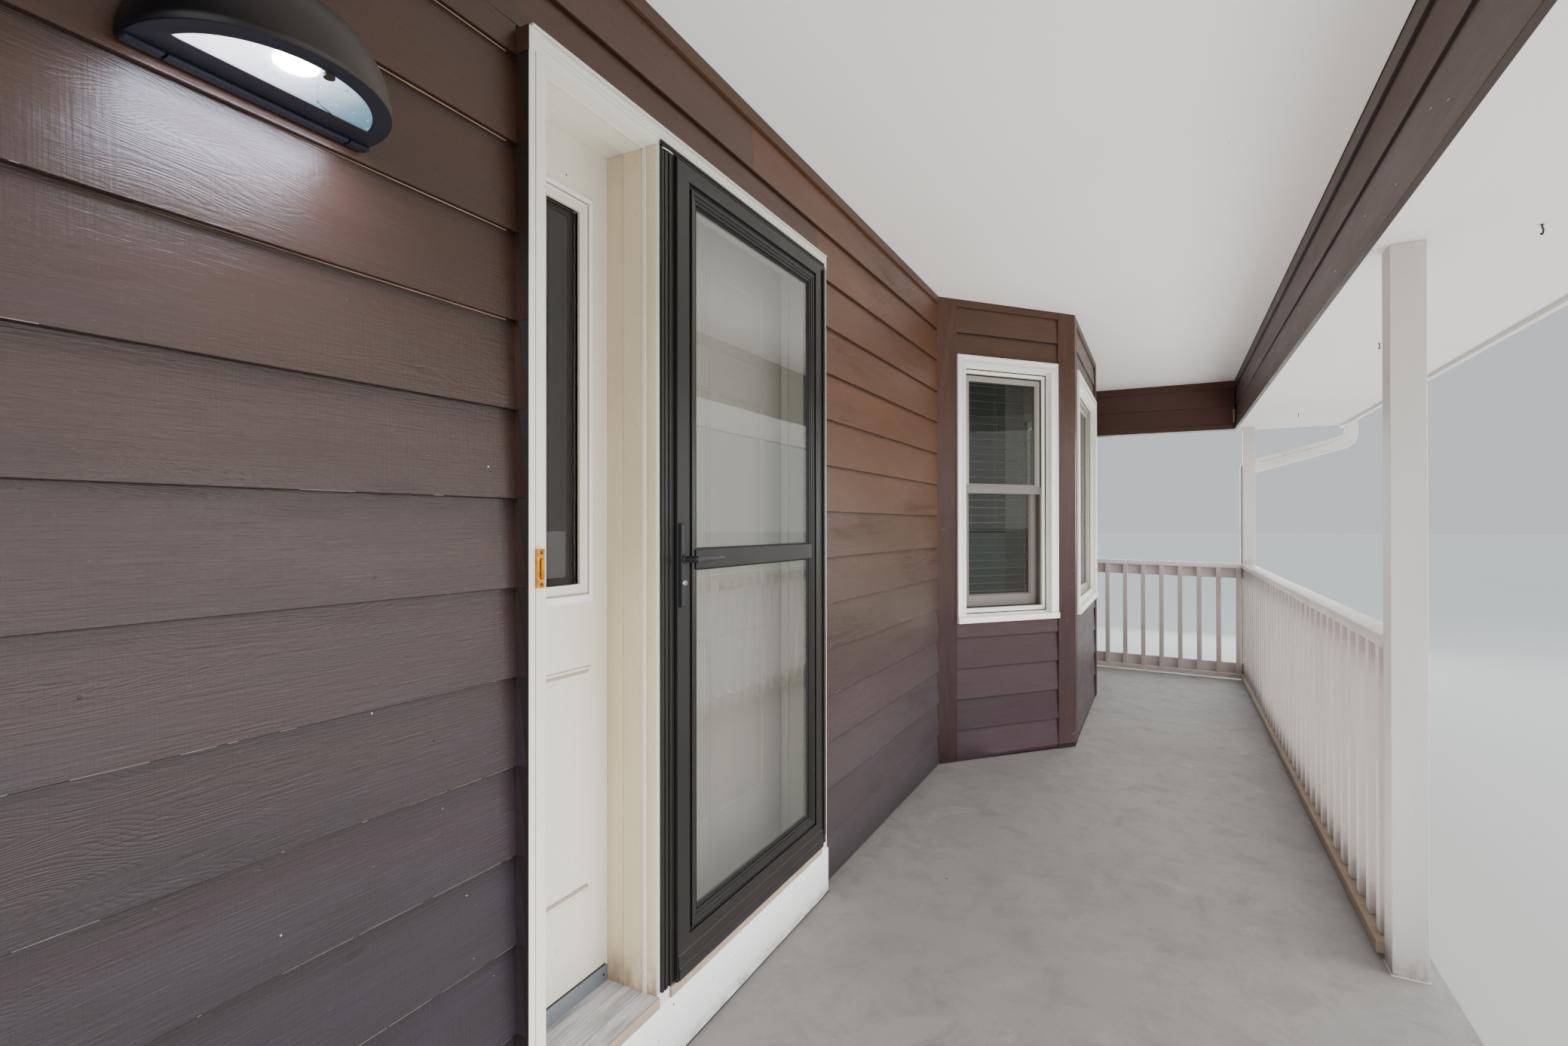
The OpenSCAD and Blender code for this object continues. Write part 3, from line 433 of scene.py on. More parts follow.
def m_brass():
    g = mat("brass")
    v = g.obj()
    a = g.noise(v, 90, 4, 0.6)
    base = g.mix(g.ramp(a, [(0.35, 0.0), (0.7, 1.0)]), lin(226, 158, 60), lin(176, 112, 36))
    g.bsdf(base, g.mth("ADD", g.mth("MULTIPLY", a, 0.2), 0.20), g.bump(g.noise(v, 700, 2), 0.08, 0.0002), Metallic=0.9)
    g = mat("brass_dark")
    v = g.obj()
    base = g.mix(g.noise(v, 120, 3), lin(150, 92, 30), lin(96, 60, 24))
    g.bsdf(base, 0.35, Metallic=0.85)
    g = mat("nickel")
    v = g.obj()
    base = g.mix(g.noise(v, 200, 3), lin(206, 206, 204), lin(168, 168, 166))
    g.bsdf(base, 0.25, g.bump(g.noise(g.scl(v, (900, 900, 90)), 1, 2), 0.1, 0.0002), Metallic=1.0)


m_brass()


def m_weathered():
    g = mat("old_wood")
    v = g.attr("gc")
    fine = g.noise(g.scl(v, (3.5, 240, 40)), 1, 5, 0.65)
    broad = g.noise(g.scl(v, (1.2, 14, 4)), 1, 4, 0.6)
    crack = g.ramp(g.noise(g.scl(v, (2.2, 110, 10), (5, 3, 0)), 1, 3, 0.6), [(0.30, 1.0), (0.37, 0.0)])
    base = g.mix(g.ramp(broad, [(0.3, 0.0), (0.7, 1.0)]), lin(216, 216, 224), lin(188, 188, 194))
    base = g.mix(g.mth("MULTIPLY", g.ramp(fine, [(0.36, 1.0), (0.58, 0.0)]), 0.6), base, lin(84, 78, 76))
    base = g.mix(g.mth("MULTIPLY", crack, 0.85), base, lin(38, 34, 32))
    h = g.mth("SUBTRACT", fine, g.mth("MULTIPLY", crack, 1.5))
    g.bsdf(base, 0.7, g.bump(h, 0.7, 0.001))
    g = mat("tan_wood")
    v = g.attr("gc")
    fine = g.noise(g.scl(v, (6, 260, 260)), 1, 4, 0.6)
    g.bsdf(g.mix(fine, lin(168, 144, 120), lin(118, 92, 70)), 0.6, g.bump(fine, 0.4, 0.0006))
    g = mat("dark_gap")
    v = g.obj()
    g.bsdf(g.mix(g.noise(v, 60, 3), lin(40, 29, 25), lin(24, 18, 16)), 0.8, g.bump(g.noise(v, 300, 3), 0.3, 0.0006))
    g = mat("dirty_base")
    v = g.attr("gc")
    a = g.noise(g.scl(v, (12, 60, 60)), 1, 4, 0.65)
    g.bsdf(g.mix(a, lin(176, 160, 140), lin(132, 114, 96)), 0.65, g.bump(a, 0.5, 0.001))
    g = mat("nail_bright")
    v = g.obj()
    g.bsdf(g.mix(g.noise(v, 500, 2), lin(226, 222, 214), lin(170, 166, 160)), 0.35, Metallic=0.3)
    g = mat("edge_wear_and_highlight")
    v = g.attr("gc")
    g.bsdf(g.mix(g.noise(g.scl(v, (90, 300, 300)), 1, 3), lin(128, 114, 108), lin(84, 68, 62)), 0.55)
    g = mat("caulk")
    v = g.obj()
    a = g.noise(v, 120, 3)
    g.bsdf(g.mix(a, lin(226, 222, 214), lin(196, 190, 180)), 0.5, g.bump(a, 0.6, 0.001))
    g = mat("floor_board")
    v = g.obj()
    a = g.noise(g.scl(v, (3, 60, 3)), 1, 4, 0.6)
    g.bsdf(g.mix(a, lin(170, 138, 100), lin(128, 98, 66)), 0.55, g.bump(a, 0.3, 0.0008))


m_weathered()


def m_shingle():
    g = mat("shingle")
    v = g.obj()
    tone = g.attr("tone", 2)
    gr = g.noise(v, 620, 3, 0.8)
    gr2 = g.noise(v, 260, 2, 0.6)
    broad = g.noise(v, 2.0, 4, 0.6)
    base = g.mix(tone, lin(74, 68, 64), lin(118, 110, 102))
    base = g.mix(g.mth("MULTIPLY", g.ramp(gr, [(0.4, 0.0), (0.62, 1.0)]), 0.6), base, lin(150, 140, 128))
    base = g.mix(g.mth("MULTIPLY", g.ramp(gr2, [(0.5, 0.0), (0.6, 1.0)]), 0.4), base, lin(44, 40, 40))
    base = g.mix(g.mth("MULTIPLY", broad, 0.3), base, lin(70, 64, 60))
    g.bsdf(base, 0.9, g.bump(gr, 0.8, 0.0015))
    g = mat("roof_wood")
    v = g.obj()
    a = g.noise(g.scl(v, (3, 40, 40)), 1, 4, 0.6)
    g.bsdf(g.mix(a, lin(196, 170, 130), lin(150, 122, 86)), 0.7, g.bump(a, 0.4, 0.001))


m_shingle()


def m_glass(name, tint, trans=0.9, rough=0.0, ior=1.5):
    """window glass: a thin clear sheet that lets light through, with a faint uneven skin for its reflections"""
    g = mat(name)
    v = g.obj()
    wave = g.noise(v, 2.4, 2, 0.4)
    b = g.bsdf(tint, rough, g.bump(wave, 0.06, 0.004), IOR=ior)
    b.inputs["Transmission Weight"].default_value = trans
    b.inputs["Specular IOR Level"].default_value = 0.5


# the window glass is tinted dark green and the sidelight pane purple-grey: painted shade for the dim rooms behind, with
# a painted green reflection on the windows
m_glass("glass_window", (0.26, 0.28, 0.25), 0.96, 0.0, 1.17)
m_glass("glass_door", (0.86, 0.90, 0.88), 0.97, 0.0)
m_glass("glass_side", (0.50, 0.47, 0.50), 0.97, 0.0, 1.35)


def m_lens():
    g = mat("lens")
    v = g.obj()
    x = g.n("ShaderNodeSeparateXYZ", {0: v}).outputs[0]
    t = g.n("ShaderNodeMapRange", {0: x, 1: (745 - CX) / 1000, 2: (925 - CX) / 1000, 3: 0.0, 4: 1.0}).outputs[0]
    # the lens colour runs from white at the left to dark blue-green at the right, and the glow takes the same colours:
    # painted highlight and reflection
    col = g.ramp(t, [(0.0, (0.96, 0.96, 1.0)), (0.40, (0.62, 0.65, 0.78)), (0.62, (0.34, 0.42, 0.52)), (0.85, (0.16, 0.27, 0.34)), (1.0, (0.10, 0.20, 0.25))])
    drop = g.n("ShaderNodeTexVoronoi", {"Vector": v, "Scale": 85.0, "Randomness": 1.0})
    bead = g.ramp(drop.outputs[0], [(0.0, 1.0), (0.12, 0.8), (0.2, 0.0)])
    sel = g.ramp(g.noise(v, 34, 2), [(0.56, 0.0), (0.62, 1.0)])
    bead = g.mth("MULTIPLY", bead, sel)
    col = g.mix(g.mth("MULTIPLY", bead, 0.5), col, (1, 1, 1))
    b = g.bsdf(col, 0.12, g.bump(g.mth("ADD", g.mth("MULTIPLY", bead, 2.0), g.noise(v, 60, 3)), 0.5, 0.002), IOR=1.45)
    b.inputs["Transmission Weight"].default_value = 0.35
    # the lit bulb shows as a bright oval at the front edge, with a glow about it
    sx = g.n("ShaderNodeSeparateXYZ", {0: v})
    ex = g.mth("MULTIPLY", g.mth("SUBTRACT", sx.outputs[0], (799 - CX) / 1000), 1000 / 25.5)
    ey = g.mth("MULTIPLY", g.mth("SUBTRACT", sx.outputs[1], (-139 - CY) / 1000), 1000 / 26.0)
    rr = g.mth("SQRT", g.mth("ADD", g.mth("MULTIPLY", ex, ex), g.mth("MULTIPLY", ey, ey)), 0.0)
    core = g.ramp(g.mth("MULTIPLY", rr, 0.25), [(0.0, 1.0), (0.248, 1.0), (0.262, 0.0)])
    glow = g.ramp(g.mth("MULTIPLY", rr, 0.25), [(0.2, 0.55), (1.0, 0.0)])
    em = g.mix(core, g.mix(glow, col, (1.0, 1.0, 1.0)), (1.0, 1.0, 1.0))
    st = g.mth("ADD", g.mth("ADD", g.mth("MULTIPLY", core, 9.0), g.mth("MULTIPLY", glow, 0.5)), 0.95)
    g.t.links.new(em, b.inputs["Emission Color"])
    g.t.links.new(st, b.inputs["Emission Strength"])
    g = mat("bulb")
    v = g.obj()
    b = g.bsdf(g.mix(g.noise(v, 20, 2), (1, 1, 1), (0.94, 0.96, 1)), 0.4)
    b.inputs["Emission Color"].default_value = (0.95, 0.97, 1, 1)
    b.inputs["Emission Strength"].default_value = 9.0
    g = mat("reflector_painted_glow")
    v = g.obj()
    b = g.bsdf(g.mix(g.noise(v, 30, 2), lin(225, 230, 238), lin(200, 208, 220)), 0.5)
    # the reflector, and the collar and socket box that share it, glow faintly: painted light from the bulb
    b.inputs["Emission Color"].default_value = (0.7, 0.8, 0.95, 1)
    b.inputs["Emission Strength"].default_value = 0.35


m_lens()
g = mat("blind")
v = g.attr("gc")
g.bsdf(g.mix(g.noise(g.scl(v, (4, 90, 90)), 1, 3), lin(236, 232, 224), lin(220, 215, 206)), 0.4, g.bump(g.noise(g.scl(v, (4, 300, 300)), 1, 3), 0.2, 0.0004))


# ------------------------------------------------------------------ mesh helpers
class Piece:
    """collects lofted solids in the part's millimetres and turns them into one object"""

    def __init__(self, name, mats, f=f_main):
        self.name, self.mats, self.f = name, mats, f
        self.bm = bmesh.new()
        self.gc = self.bm.verts.layers.float_vector.new("gc")
        self.tn = self.bm.verts.layers.float.new("tone")

    def v(self, p, ax="u", off=0.0, tone=0.5):
        nv = self.bm.verts.new(row(self.f(*p)))
        u, d, z = p[0] / 1000, p[1] / 1000, p[2] / 1000
        nv[self.gc] = {"u": (u + off, z + off * 0.37, d), "z": (z + off, u + off * 0.37, d), "d": (d + off, z + off * 0.37, u)}[ax]
        nv[self.tn] = tone
        return nv

    def face(self, vs, m=0):
        try:
            fc = self.bm.faces.new(vs)
            fc.material_index = m
            return fc
        except ValueError:
            return None

    def loft(self, rings, m=0, ax="u", off=None, tone=None, caps=True, close=True, loop=False, seg_m=None, cap_m=None):
        """rings: lists of (u, d, z) with the same length; seg_m gives a material index per side of the section"""
        off = rnd.uniform(0, 40) if off is None else off
        tone = rnd.random() if tone is None else tone
        rv = [[self.v(p, ax, off, tone) for p in r] for r in rings]
        n = len(rv[0])
        pairs = list(zip(rv[:-1], rv[1:])) + ([(rv[-1], rv[0])] if loop else [])
        for a, b in pairs:
            for i in range(n if close else n - 1):
                j = (i + 1) % n
                self.face((a[i], a[j], b[j], b[i]), (seg_m[i] if seg_m else m))
        if caps and not loop:
            self.face(rv[0][::-1], m if cap_m is None else cap_m)
            self.face(rv[-1], m if cap_m is None else cap_m)
        return rv

    def box(self, a, b, m=0, ax="u", off=None, tone=None, ch=0.0):
        """box with chamfered long edges, ch in mm, running along ax"""
        (x1, y1, z1), (x2, y2, z2) = a, b
        c = ch
        def sec(p, q, r, s):
            return [(p + c, q), (r - c, q), (r, q + c), (r, s - c), (r - c, s), (p + c, s), (p, s - c), (p, q + c)] if c else [(p, q), (r, q), (r, s), (p, s)]
        e = c * 0.6
        if ax == "u":
            S = [(x1, sec(y1 + e, z1 + e, y2 - e, z2 - e)), (x1 + e, sec(y1, z1, y2, z2)), (x2 - e, sec(y1, z1, y2, z2)), (x2, sec(y1 + e, z1 + e, y2 - e, z2 - e))]
            rings = [[(x, p, q) for p, q in s] for x, s in S]
        elif ax == "z":
            S = [(z1, sec(x1 + e, y1 + e, x2 - e, y2 - e)), (z1 + e, sec(x1, y1, x2, y2)), (z2 - e, sec(x1, y1, x2, y2)), (z2, sec(x1 + e, y1 + e, x2 - e, y2 - e))]
            rings = [[(p, q, z) for p, q in s] for z, s in S]
        else:
            S = [(y1, sec(x1 + e, z1 + e, x2 - e, z2 - e)), (y1 + e, sec(x1, z1, x2, z2)), (y2 - e, sec(x1, z1, x2, z2)), (y2, sec(x1 + e, z1 + e, x2 - e, z2 - e))]
            rings = [[(p, y, q) for p, q in s] for y, s in S]
        if not c:
            rings = [rings[0], rings[-1]]
        return self.loft(rings, m, ax, off, tone)

    def along_u(self, u1, u2, pts, m=0, seg_m=None, steps=1, off=None, tone=None, wob=0.0):
        rings = []
        for i in range(steps + 1):
            u = u1 + (u2 - u1) * i / steps
            w = wob * noise.noise(Vector((u * 0.002, pts[0][1] * 0.01, 3.1)))
            rings.append([(u, d, z + w) for d, z in pts])
        return self.loft(rings, m, "u", off, tone, seg_m=seg_m)

    def along_z(self, z1, z2, pts, m=0, seg_m=None, off=None, tone=None):
        return self.loft([[(u, d, z1) for u, d in pts], [(u, d, z2) for u, d in pts]], m, "z", off, tone, seg_m=seg_m)

    def ring(self, x1, x2, z1, z2, prof, outer=None, sides="lbrt", m=0, seg_m=None):
        """mitred frame about the rectangle x1..x2, z1..z2. prof is a closed section of (out, depth); out is the distance
        outwards from the rectangle, or ("o", inset) from the outer rectangle. Each side is a board of its own."""
        ox1, ox2, oz1, oz2 = outer or (x1, x2, z1, z2)

        def pt(corner, o):
            if isinstance(o, tuple):
                L, R_, B_, T_ = ox1 + o[1], ox2 - o[1], oz1 + o[1], oz2 - o[1]
            else:
                L, R_, B_, T_ = x1 - o, x2 + o, z1 - o, z2 + o
            if "b" not in sides:
                B_ = oz1
            return {"bl": (L, B_), "tl": (L, T_), "tr": (R_, T_), "br": (R_, B_)}[corner]

        todo = {"l": ("bl", "tl", "z"), "t": ("tl", "tr", "u"), "r": ("tr", "br", "z"), "b": ("br", "bl", "u")}
        for s in "ltrb":
            if s in sides:
                c1, c2, ax = todo[s]
                rings = [[(pt(c, o)[0], d, pt(c, o)[1]) for o, d in prof] for c in (c1, c2)]
                self.loft(rings, m, ax, seg_m=seg_m)

    def panel(self, x1, x2, z1, z2, prof, m=0, ax="z"):
        """raised or sunk panel: prof is (inset, depth) from the outside in; the middle is closed"""
        off, tone = rnd.uniform(0, 40), rnd.random()
        rings = [[(x1 + i, d, z1 + i), (x2 - i, d, z1 + i), (x2 - i, d, z2 - i), (x1 + i, d, z2 - i)] for i, d in prof]
        rv = self.loft(rings, m, ax, off, tone, caps=False)
        self.face(rv[-1], m)
        self.face(rv[0][::-1], m)

    def disc(self, c, r, h, axis="d", m=0, n=16, dome=0.0):
        """low cylinder with a rounded edge; axis d points outwards to -d, z upwards"""
        prof = [(r * 0.55, h + dome), (r * 0.85, h), (r, h * 0.6), (r, 0.0)]
        rings = []
        for rr, hh in prof[::-1]:
            if axis == "d":
                rings.append([(c[0] + rr * math.cos(2 * math.pi * k / n), c[1] - hh, c[2] + rr * math.sin(2 * math.pi * k / n)) for k in range(n)])
            elif axis == "z":
                rings.append([(c[0] + rr * math.cos(2 * math.pi * k / n), c[1] + rr * math.sin(2 * math.pi * k / n), c[2] + hh) for k in range(n)])
            else:
                rings.append([(c[0] + hh, c[1] + rr * math.cos(2 * math.pi * k / n), c[2] + rr * math.sin(2 * math.pi * k / n)) for k in range(n)])
        self.loft(rings, m, "z")

    def tube(self, pts, r, m=0, n=10):
        """round bar through points"""
        P = [Vector(p) for p in pts]
        rings = []
        for i, p in enumerate(P):
            t = (P[min(i + 1, len(P) - 1)] - P[max(i - 1, 0)]).normalized()
            a = t.orthogonal().normalized() if i == 0 else (a - t * a.dot(t)).normalized()
            b = t.cross(a)
            rings.append([tuple(p + (a * math.cos(2 * math.pi * k / n) + b * math.sin(2 * math.pi * k / n)) * r) for k in range(n)])
        self.loft(rings, m, "z")

    def done(self, body="porch", replaces=(), bevel=0.0, seg=2, smooth=32, recalc=True):
        if recalc:
            bmesh.ops.recalc_face_normals(self.bm, faces=self.bm.faces[:])
        me = bpy.data.meshes.new(self.name)
        self.bm.to_mesh(me)
        self.bm.free()
        return place(self.name, me, self.mats, body, replaces, bevel, seg, smooth)


def place(name, me, mats, body, replaces, bevel, seg, smooth):
    for m in mats:
        me.materials.append(MATS[m])
    if smooth:
        me.polygons.foreach_set("use_smooth", [True] * len(me.polygons))
        me.set_sharp_from_angle(angle=math.radians(smooth))
    o = bpy.data.objects.new(name, me)
    scene.collection.objects.link(o)
    if bevel:
        b = o.modifiers.new("edge", "BEVEL")
        b.width = bevel / 1000
        b.segments = seg
        b.limit_method = "ANGLE"
        b.angle_limit = math.radians(28)
        b.use_clamp_overlap = True
    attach(o, body)
    if replaces:
        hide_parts(*replaces)
    return o


def from_cad(node, name, mats, bevel, body="porch", ax="u", seg=2, pick=None, smooth=30):
    """the CAD node's own shape with eased edges and board coordinates for its grain"""
    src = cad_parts[node]
    bm = bmesh.new()
    bm.from_mesh(src.data)
    bmesh.ops.remove_doubles(bm, verts=bm.verts, dist=0.00002)
    bmesh.ops.dissolve_limit(bm, angle_limit=math.radians(0.6), verts=bm.verts, edges=bm.edges)
    gc = bm.verts.layers.float_vector.new("gc")
    tn = bm.verts.layers.float.new("tone")
    # one tone and offset per solid
    seen = set()
    for v0 in bm.verts:
        if v0 in seen:
            continue
        stack, grp = [v0], []
        seen.add(v0)
        while stack:
            w = stack.pop()
            grp.append(w)
            for e in w.link_edges:
                o2 = e.other_vert(w)
                if o2 not in seen:
                    seen.add(o2)
                    stack.append(o2)
        off, tone = rnd.uniform(0, 30), rnd.random()
        for w in grp:
            x, y, z = w.co
            w[gc] = {"u": (x + off, z + off * 0.4, y), "z": (z + off, x + y + off * 0.4, y), "d": (y + off, z + off * 0.4, x)}[ax]
            w[tn] = tone
    if pick:
        for fc in bm.faces:
            fc.material_index = pick(fc)
    bmesh.ops.recalc_face_normals(bm, faces=bm.faces[:])
    me = bpy.data.meshes.new(name)
    bm.to_mesh(me)
    bm.free()
    me.materials.clear()
    return place(name, me, mats, body, (node,), bevel, seg, smooth)


# ------------------------------------------------------------------ lap boards
def lap_board(p, z0, z1, s, lap, xa, xb, cut0=None, cut1=None, zref=None, thick=16.0, thin=6.0, m=0, step=150, bright=None, wav=0.7):
    """one bevel board. z0 is its butt and z1 the butt of the next course; xa and xb give its ends at (depth, height);
    cut0 and cut1 trim it below or above"""
    zr = z0 if zref is None else zref
    lo = z0 if cut0 is None else cut0
    hi = z1 if cut1 is None else cut1
    face = lambda z: s - thick + (thick - thin) * (z - zr) / lap
    top = hi + (12 if cut1 is None else 0)
    dtop = face(hi)
    x0, x1 = xa(s, lo), xb(s, lo)
    n = max(2, int(abs(x1 - x0) / step))
    k = rnd.uniform(0, 50)
    off, tone = rnd.uniform(0, 40), rnd.random()
    back = s - thick + 8.8 if cut0 is None else s - 0.4
    rings = []
    for i in range(n + 1):
        t = i / n
        um = x0 + (x1 - x0) * t
        wz = wav * noise.noise(Vector((um * 0.0016, k, 0.0))) * 1.4
        wd = 0.5 * noise.noise(Vector((um * 0.0021, k, 7.0)))
        lowz = lo(um) if callable(lo) else lo + wz
        sec = [(face(lo if not callable(lo) else z0) + 0.9, lowz), (face(lo if not callable(lo) else z0), lowz + 1.0), (dtop, hi), (dtop + 0.5, top), (s - 0.3, top),
               (s - 0.3, min(hi - 1, lowz + 32)), (back, lowz)]
        if bright:
            sec += [(face(z0) + 6.6, lowz), (face(z0) + 5.0, lowz)]
        r = []
        for d, z in sec:
            a_, b_ = xa(d, z), xb(d, z)
            r.append((a_ + (b_ - a_) * t, d + (wd if d < s - 2 else 0), z))
        rings.append(r)
    sm = None
    if bright:
        sm = [m] * 9
        sm[7] = bright
    p.loft(rings, m, "u", off, tone, seg_m=sm)


def bx(d, y):
    return BAY_X + (d - CB * y) / SB


# main wall
p = Piece("siding_boards", ["siding_near", "siding_warm", "tan_wood", "siding_mid"])
for k in range(15):
    z0, z1 = LAP_Z0 + k * LAP, LAP_Z0 + (k + 1) * LAP
    if k == 0:
        z0 = SLAB + 4.0
    zr = LAP_Z0 + k * LAP
    c1 = None if z1 < FRIEZE - 5 else FRIEZE - 1.5
    br = None
    e_l = lambda d, z: 0.4
    e_bay = lambda d, z: bx(-4.0, d)
    low_unit = UNIT_L - 16 - 5
    if z1 < CAS_TOP - 4:
        end = low_unit if z0 < 324 - 60 else UNIT_L - 0.4
        if z0 < 324 < z1:
            # the board above the riser board's end is notched round it
            lap_board(p, z0, z1, 18, LAP, e_l, lambda d, z: low_unit, cut1=min(c1 or 9e9, 326), zref=zr)
            lap_board(p, z0, z1, 18, LAP, e_l, lambda d, z: UNIT_L - 0.4, cut0=326.2, cut1=c1, zref=zr, bright=None)
            lap_board(p, z0, z1, 18, LAP, lambda d, z: UNIT_R + 19, e_bay, cut1=326, zref=zr, m=1)
            lap_board(p, z0, z1, 18, LAP, lambda d, z: UNIT_R + 4, e_bay, cut0=326.2, cut1=c1, zref=zr, m=1)
        else:
            lap_board(p, z0, z1, 18, LAP, e_l, lambda d, z, e=end: e, cut1=c1, zref=zr, bright=br)
            rgt = UNIT_R + (19 if z0 < 264 else 4)
            lap_board(p, z0, z1, 18, LAP, lambda d, z, e=rgt: e, e_bay, cut1=c1, zref=zr, m=1, bright=None)
    elif z0 < CAS_TOP:
        # boards cut over the door head
        lap_board(p, z0, z1, 18, LAP, e_l, lambda d, z: UNIT_L - 0.4, cut1=CAS_TOP + 2, zref=zr, bright=br)
        lap_board(p, z0, z1, 18, LAP, e_l, lambda d, z: UNIT_L + 0.5, cut0=CAS_TOP + 2.2, cut1=c1, zref=zr)
        lap_board(p, z0, z1, 18, LAP, lambda d, z: UNIT_L + 0.6, lambda d, z: UNIT_R + 4, cut0=CAS_TOP + 2.2, cut1=c1, zref=zr, m=3)
        lap_board(p, z0, z1, 18, LAP, lambda d, z: UNIT_R + 4, e_bay, cut1=c1, zref=zr, m=1)
    else:
        lap_board(p, z0, z1, 18, LAP, e_l, lambda d, z: 2100.0 + 60 * (k % 3), cut1=c1, zref=zr, m=3)
        lap_board(p, z0, z1, 18, LAP, lambda d, z: 2100.8 + 60 * (k % 3), e_bay, cut1=c1, zref=zr, m=1)
    # beyond the bay
    lap_board(p, z0, z1, 18, LAP, lambda d, z: 2 * BAY_MID - bx(-4.0, d), lambda d, z: LEN - 0.4, cut1=c1, zref=zr, m=1)
p.done(replaces=("wall_siding",))

# bay sides
for nm, f in (("near", f_near), ("far", f_far)):
    p = Piece("bay_siding_" + nm, ["siding_bay"], f)
    for k in range(15):
        z0, z1, zr = BAY_Z0 + k * BAY_LAP, BAY_Z0 + (k + 1) * BAY_LAP, BAY_Z0 + k * BAY_LAP
        c1 = BAY_FRIEZE - 1.5 if z1 > BAY_FRIEZE - 5 else None
        A, Bq = (lambda d, z: 118.9), (lambda d, z: 842.2)
        if z1 <= 936:
            if k == 0:
                lap_board(p, z0, z1, 20, BAY_LAP, A, Bq, cut0=None, zref=zr)
                # short board that follows the slab
                n = 6
                rings = [[(u, d, z) for d, z in ((5.4, fall(-u * SB) + 3.5), (4.2, fall(-u * SB) + 4.5), (4.2, z0 - 1.2), (19.6, z0 - 1.2), (19.6, fall(-u * SB) + 3.5))] for u in [118.9 + (842.2 - 118.9) * i / n for i in range(n + 1)]]
                p.loft(rings, 0, "u")
            else:
                lap_board(p, z0, z1, 20, BAY_LAP, A, Bq, cut1=c1, zref=zr)
        elif z0 < 936:
            lap_board(p, z0, z1, 20, BAY_LAP, A, Bq, cut1=936.2, zref=zr)
            lap_board(p, z0, z1, 20, BAY_LAP, lambda d, z: 835.6, Bq, cut0=936.4, zref=zr, step=400)
        elif z1 < 2457:
            lap_board(p, z0, z1, 20, BAY_LAP, lambda d, z: 835.6, Bq, zref=zr, step=400)
        elif z0 < 2457:
            lap_board(p, z0, z1, 20, BAY_LAP, lambda d, z: 835.6, Bq, cut1=2457.4, zref=zr, step=400)
            lap_board(p, z0, z1, 20, BAY_LAP, A, Bq, cut0=2457.8, cut1=c1, zref=zr)
        else:
            lap_board(p, z0, z1, 20, BAY_LAP, A, Bq, cut1=c1, zref=zr)
    p.done(replaces=("bay_siding",))
p = Piece("bay_siding_front", ["siding_bay"], f_front)
for k in range(15):
    z0, z1, zr = BAY_Z0 + k * BAY_LAP, BAY_Z0 + (k + 1) * BAY_LAP, BAY_Z0 + k * BAY_LAP
    c1 = BAY_FRIEZE - 1.5 if z1 > BAY_FRIEZE - 5 else None
    A, Bq = (lambda d, z: BAY_X + BAY_RUN + 118.9), (lambda d, z: BAY_X + BAY_RUN + BAY_W - 118.9)
    if z1 <= 936:
        lap_board(p, fall(-BAY_D) + 4 if k == 0 else z0, z1, 20, BAY_LAP, A, Bq, zref=zr)
    elif z0 < 936:
        lap_board(p, z0, z1, 20, BAY_LAP, A, Bq, cut1=936.2, zref=zr)
    elif z0 > 2457:
        lap_board(p, z0, z1, 20, BAY_LAP, A, Bq, cut1=c1, zref=zr)
    elif z1 > 2458:
        lap_board(p, z0, z1, 20, BAY_LAP, A, Bq, cut0=2457.8, cut1=c1, zref=zr)
p.done(replaces=("bay_siding",))

from_cad("corner_boards", "corner_boards_v", ["trim_brown"], 1.6, ax="z")
from_cad("frieze_boards", "frieze_boards_v", ["trim_brown"], 1.2, ax="u")

# felt and shadow gap between the boards and the door casing, and a few nail heads
p = Piece("wall_gap_strips", ["dark_gap", "nail_bright", "hook_dark"])
p.box((UNIT_R + 0.2, 12.0, 326), (UNIT_R + 5, 17.6, CAS_TOP), 0, "z", ch=0.6)


def wall_face(z):
    k = math.floor((z - LAP_Z0) / LAP)
    return 18 - 16 + 10 * (z - LAP_Z0 - k * LAP) / LAP


for x, z, m in ((1252, 2556, 2), (1262, 2492, 2), (1263, 2127, 2), (1262, 1801, 2), (1004, 1555, 2), (1000, 1408, 2), (1224, 1601, 1), (1130, 993, 1), (1110, 1118, 2), (1180, 818, 1),
                (1240, 640, 1), (640, 1290, 2), (560, 960, 2), (3300, 1240, 2), (3710, 1590, 2), (2960, 900, 2), (3520, 2080, 2), (3900, 2150, 1)):
    yy = wall_face(z)
    p.disc((x, yy + 0.2, z), 2.6 if m == 2 else 1.7, 0.5, "d", m, 12)
p.done()


# stain carried on to the casing's side, course by course
p = Piece("casing_side_stain", ["siding_near"])
for k in range(1, 15):
    z0, z1 = LAP_Z0 + k * LAP, LAP_Z0 + (k + 1) * LAP
    lo_, hi_ = max(z0, 326.0), min(z1, CAS_TOP - 11)
    if hi_ - lo_ < 8:
        continue
    yf = lambda z: -23.0 + 21.0 * (z - z0) / LAP
    zs_ = [lo_ + (hi_ - lo_) * i / 7 for i in range(8)]
    out = [(14.0, lo_ + 0.4)] + [(yf(z) + 0.5 * noise.noise(Vector((z * 0.03, k, 4.0))), z + (0.4 if i == 0 else 0)) for i, z in enumerate(zs_)] + [(14.0, hi_)]
    p.loft([[(xx, y, z) for y, z in out] for xx in (1289.2, 1289.95)], 0, "z")
p.done()

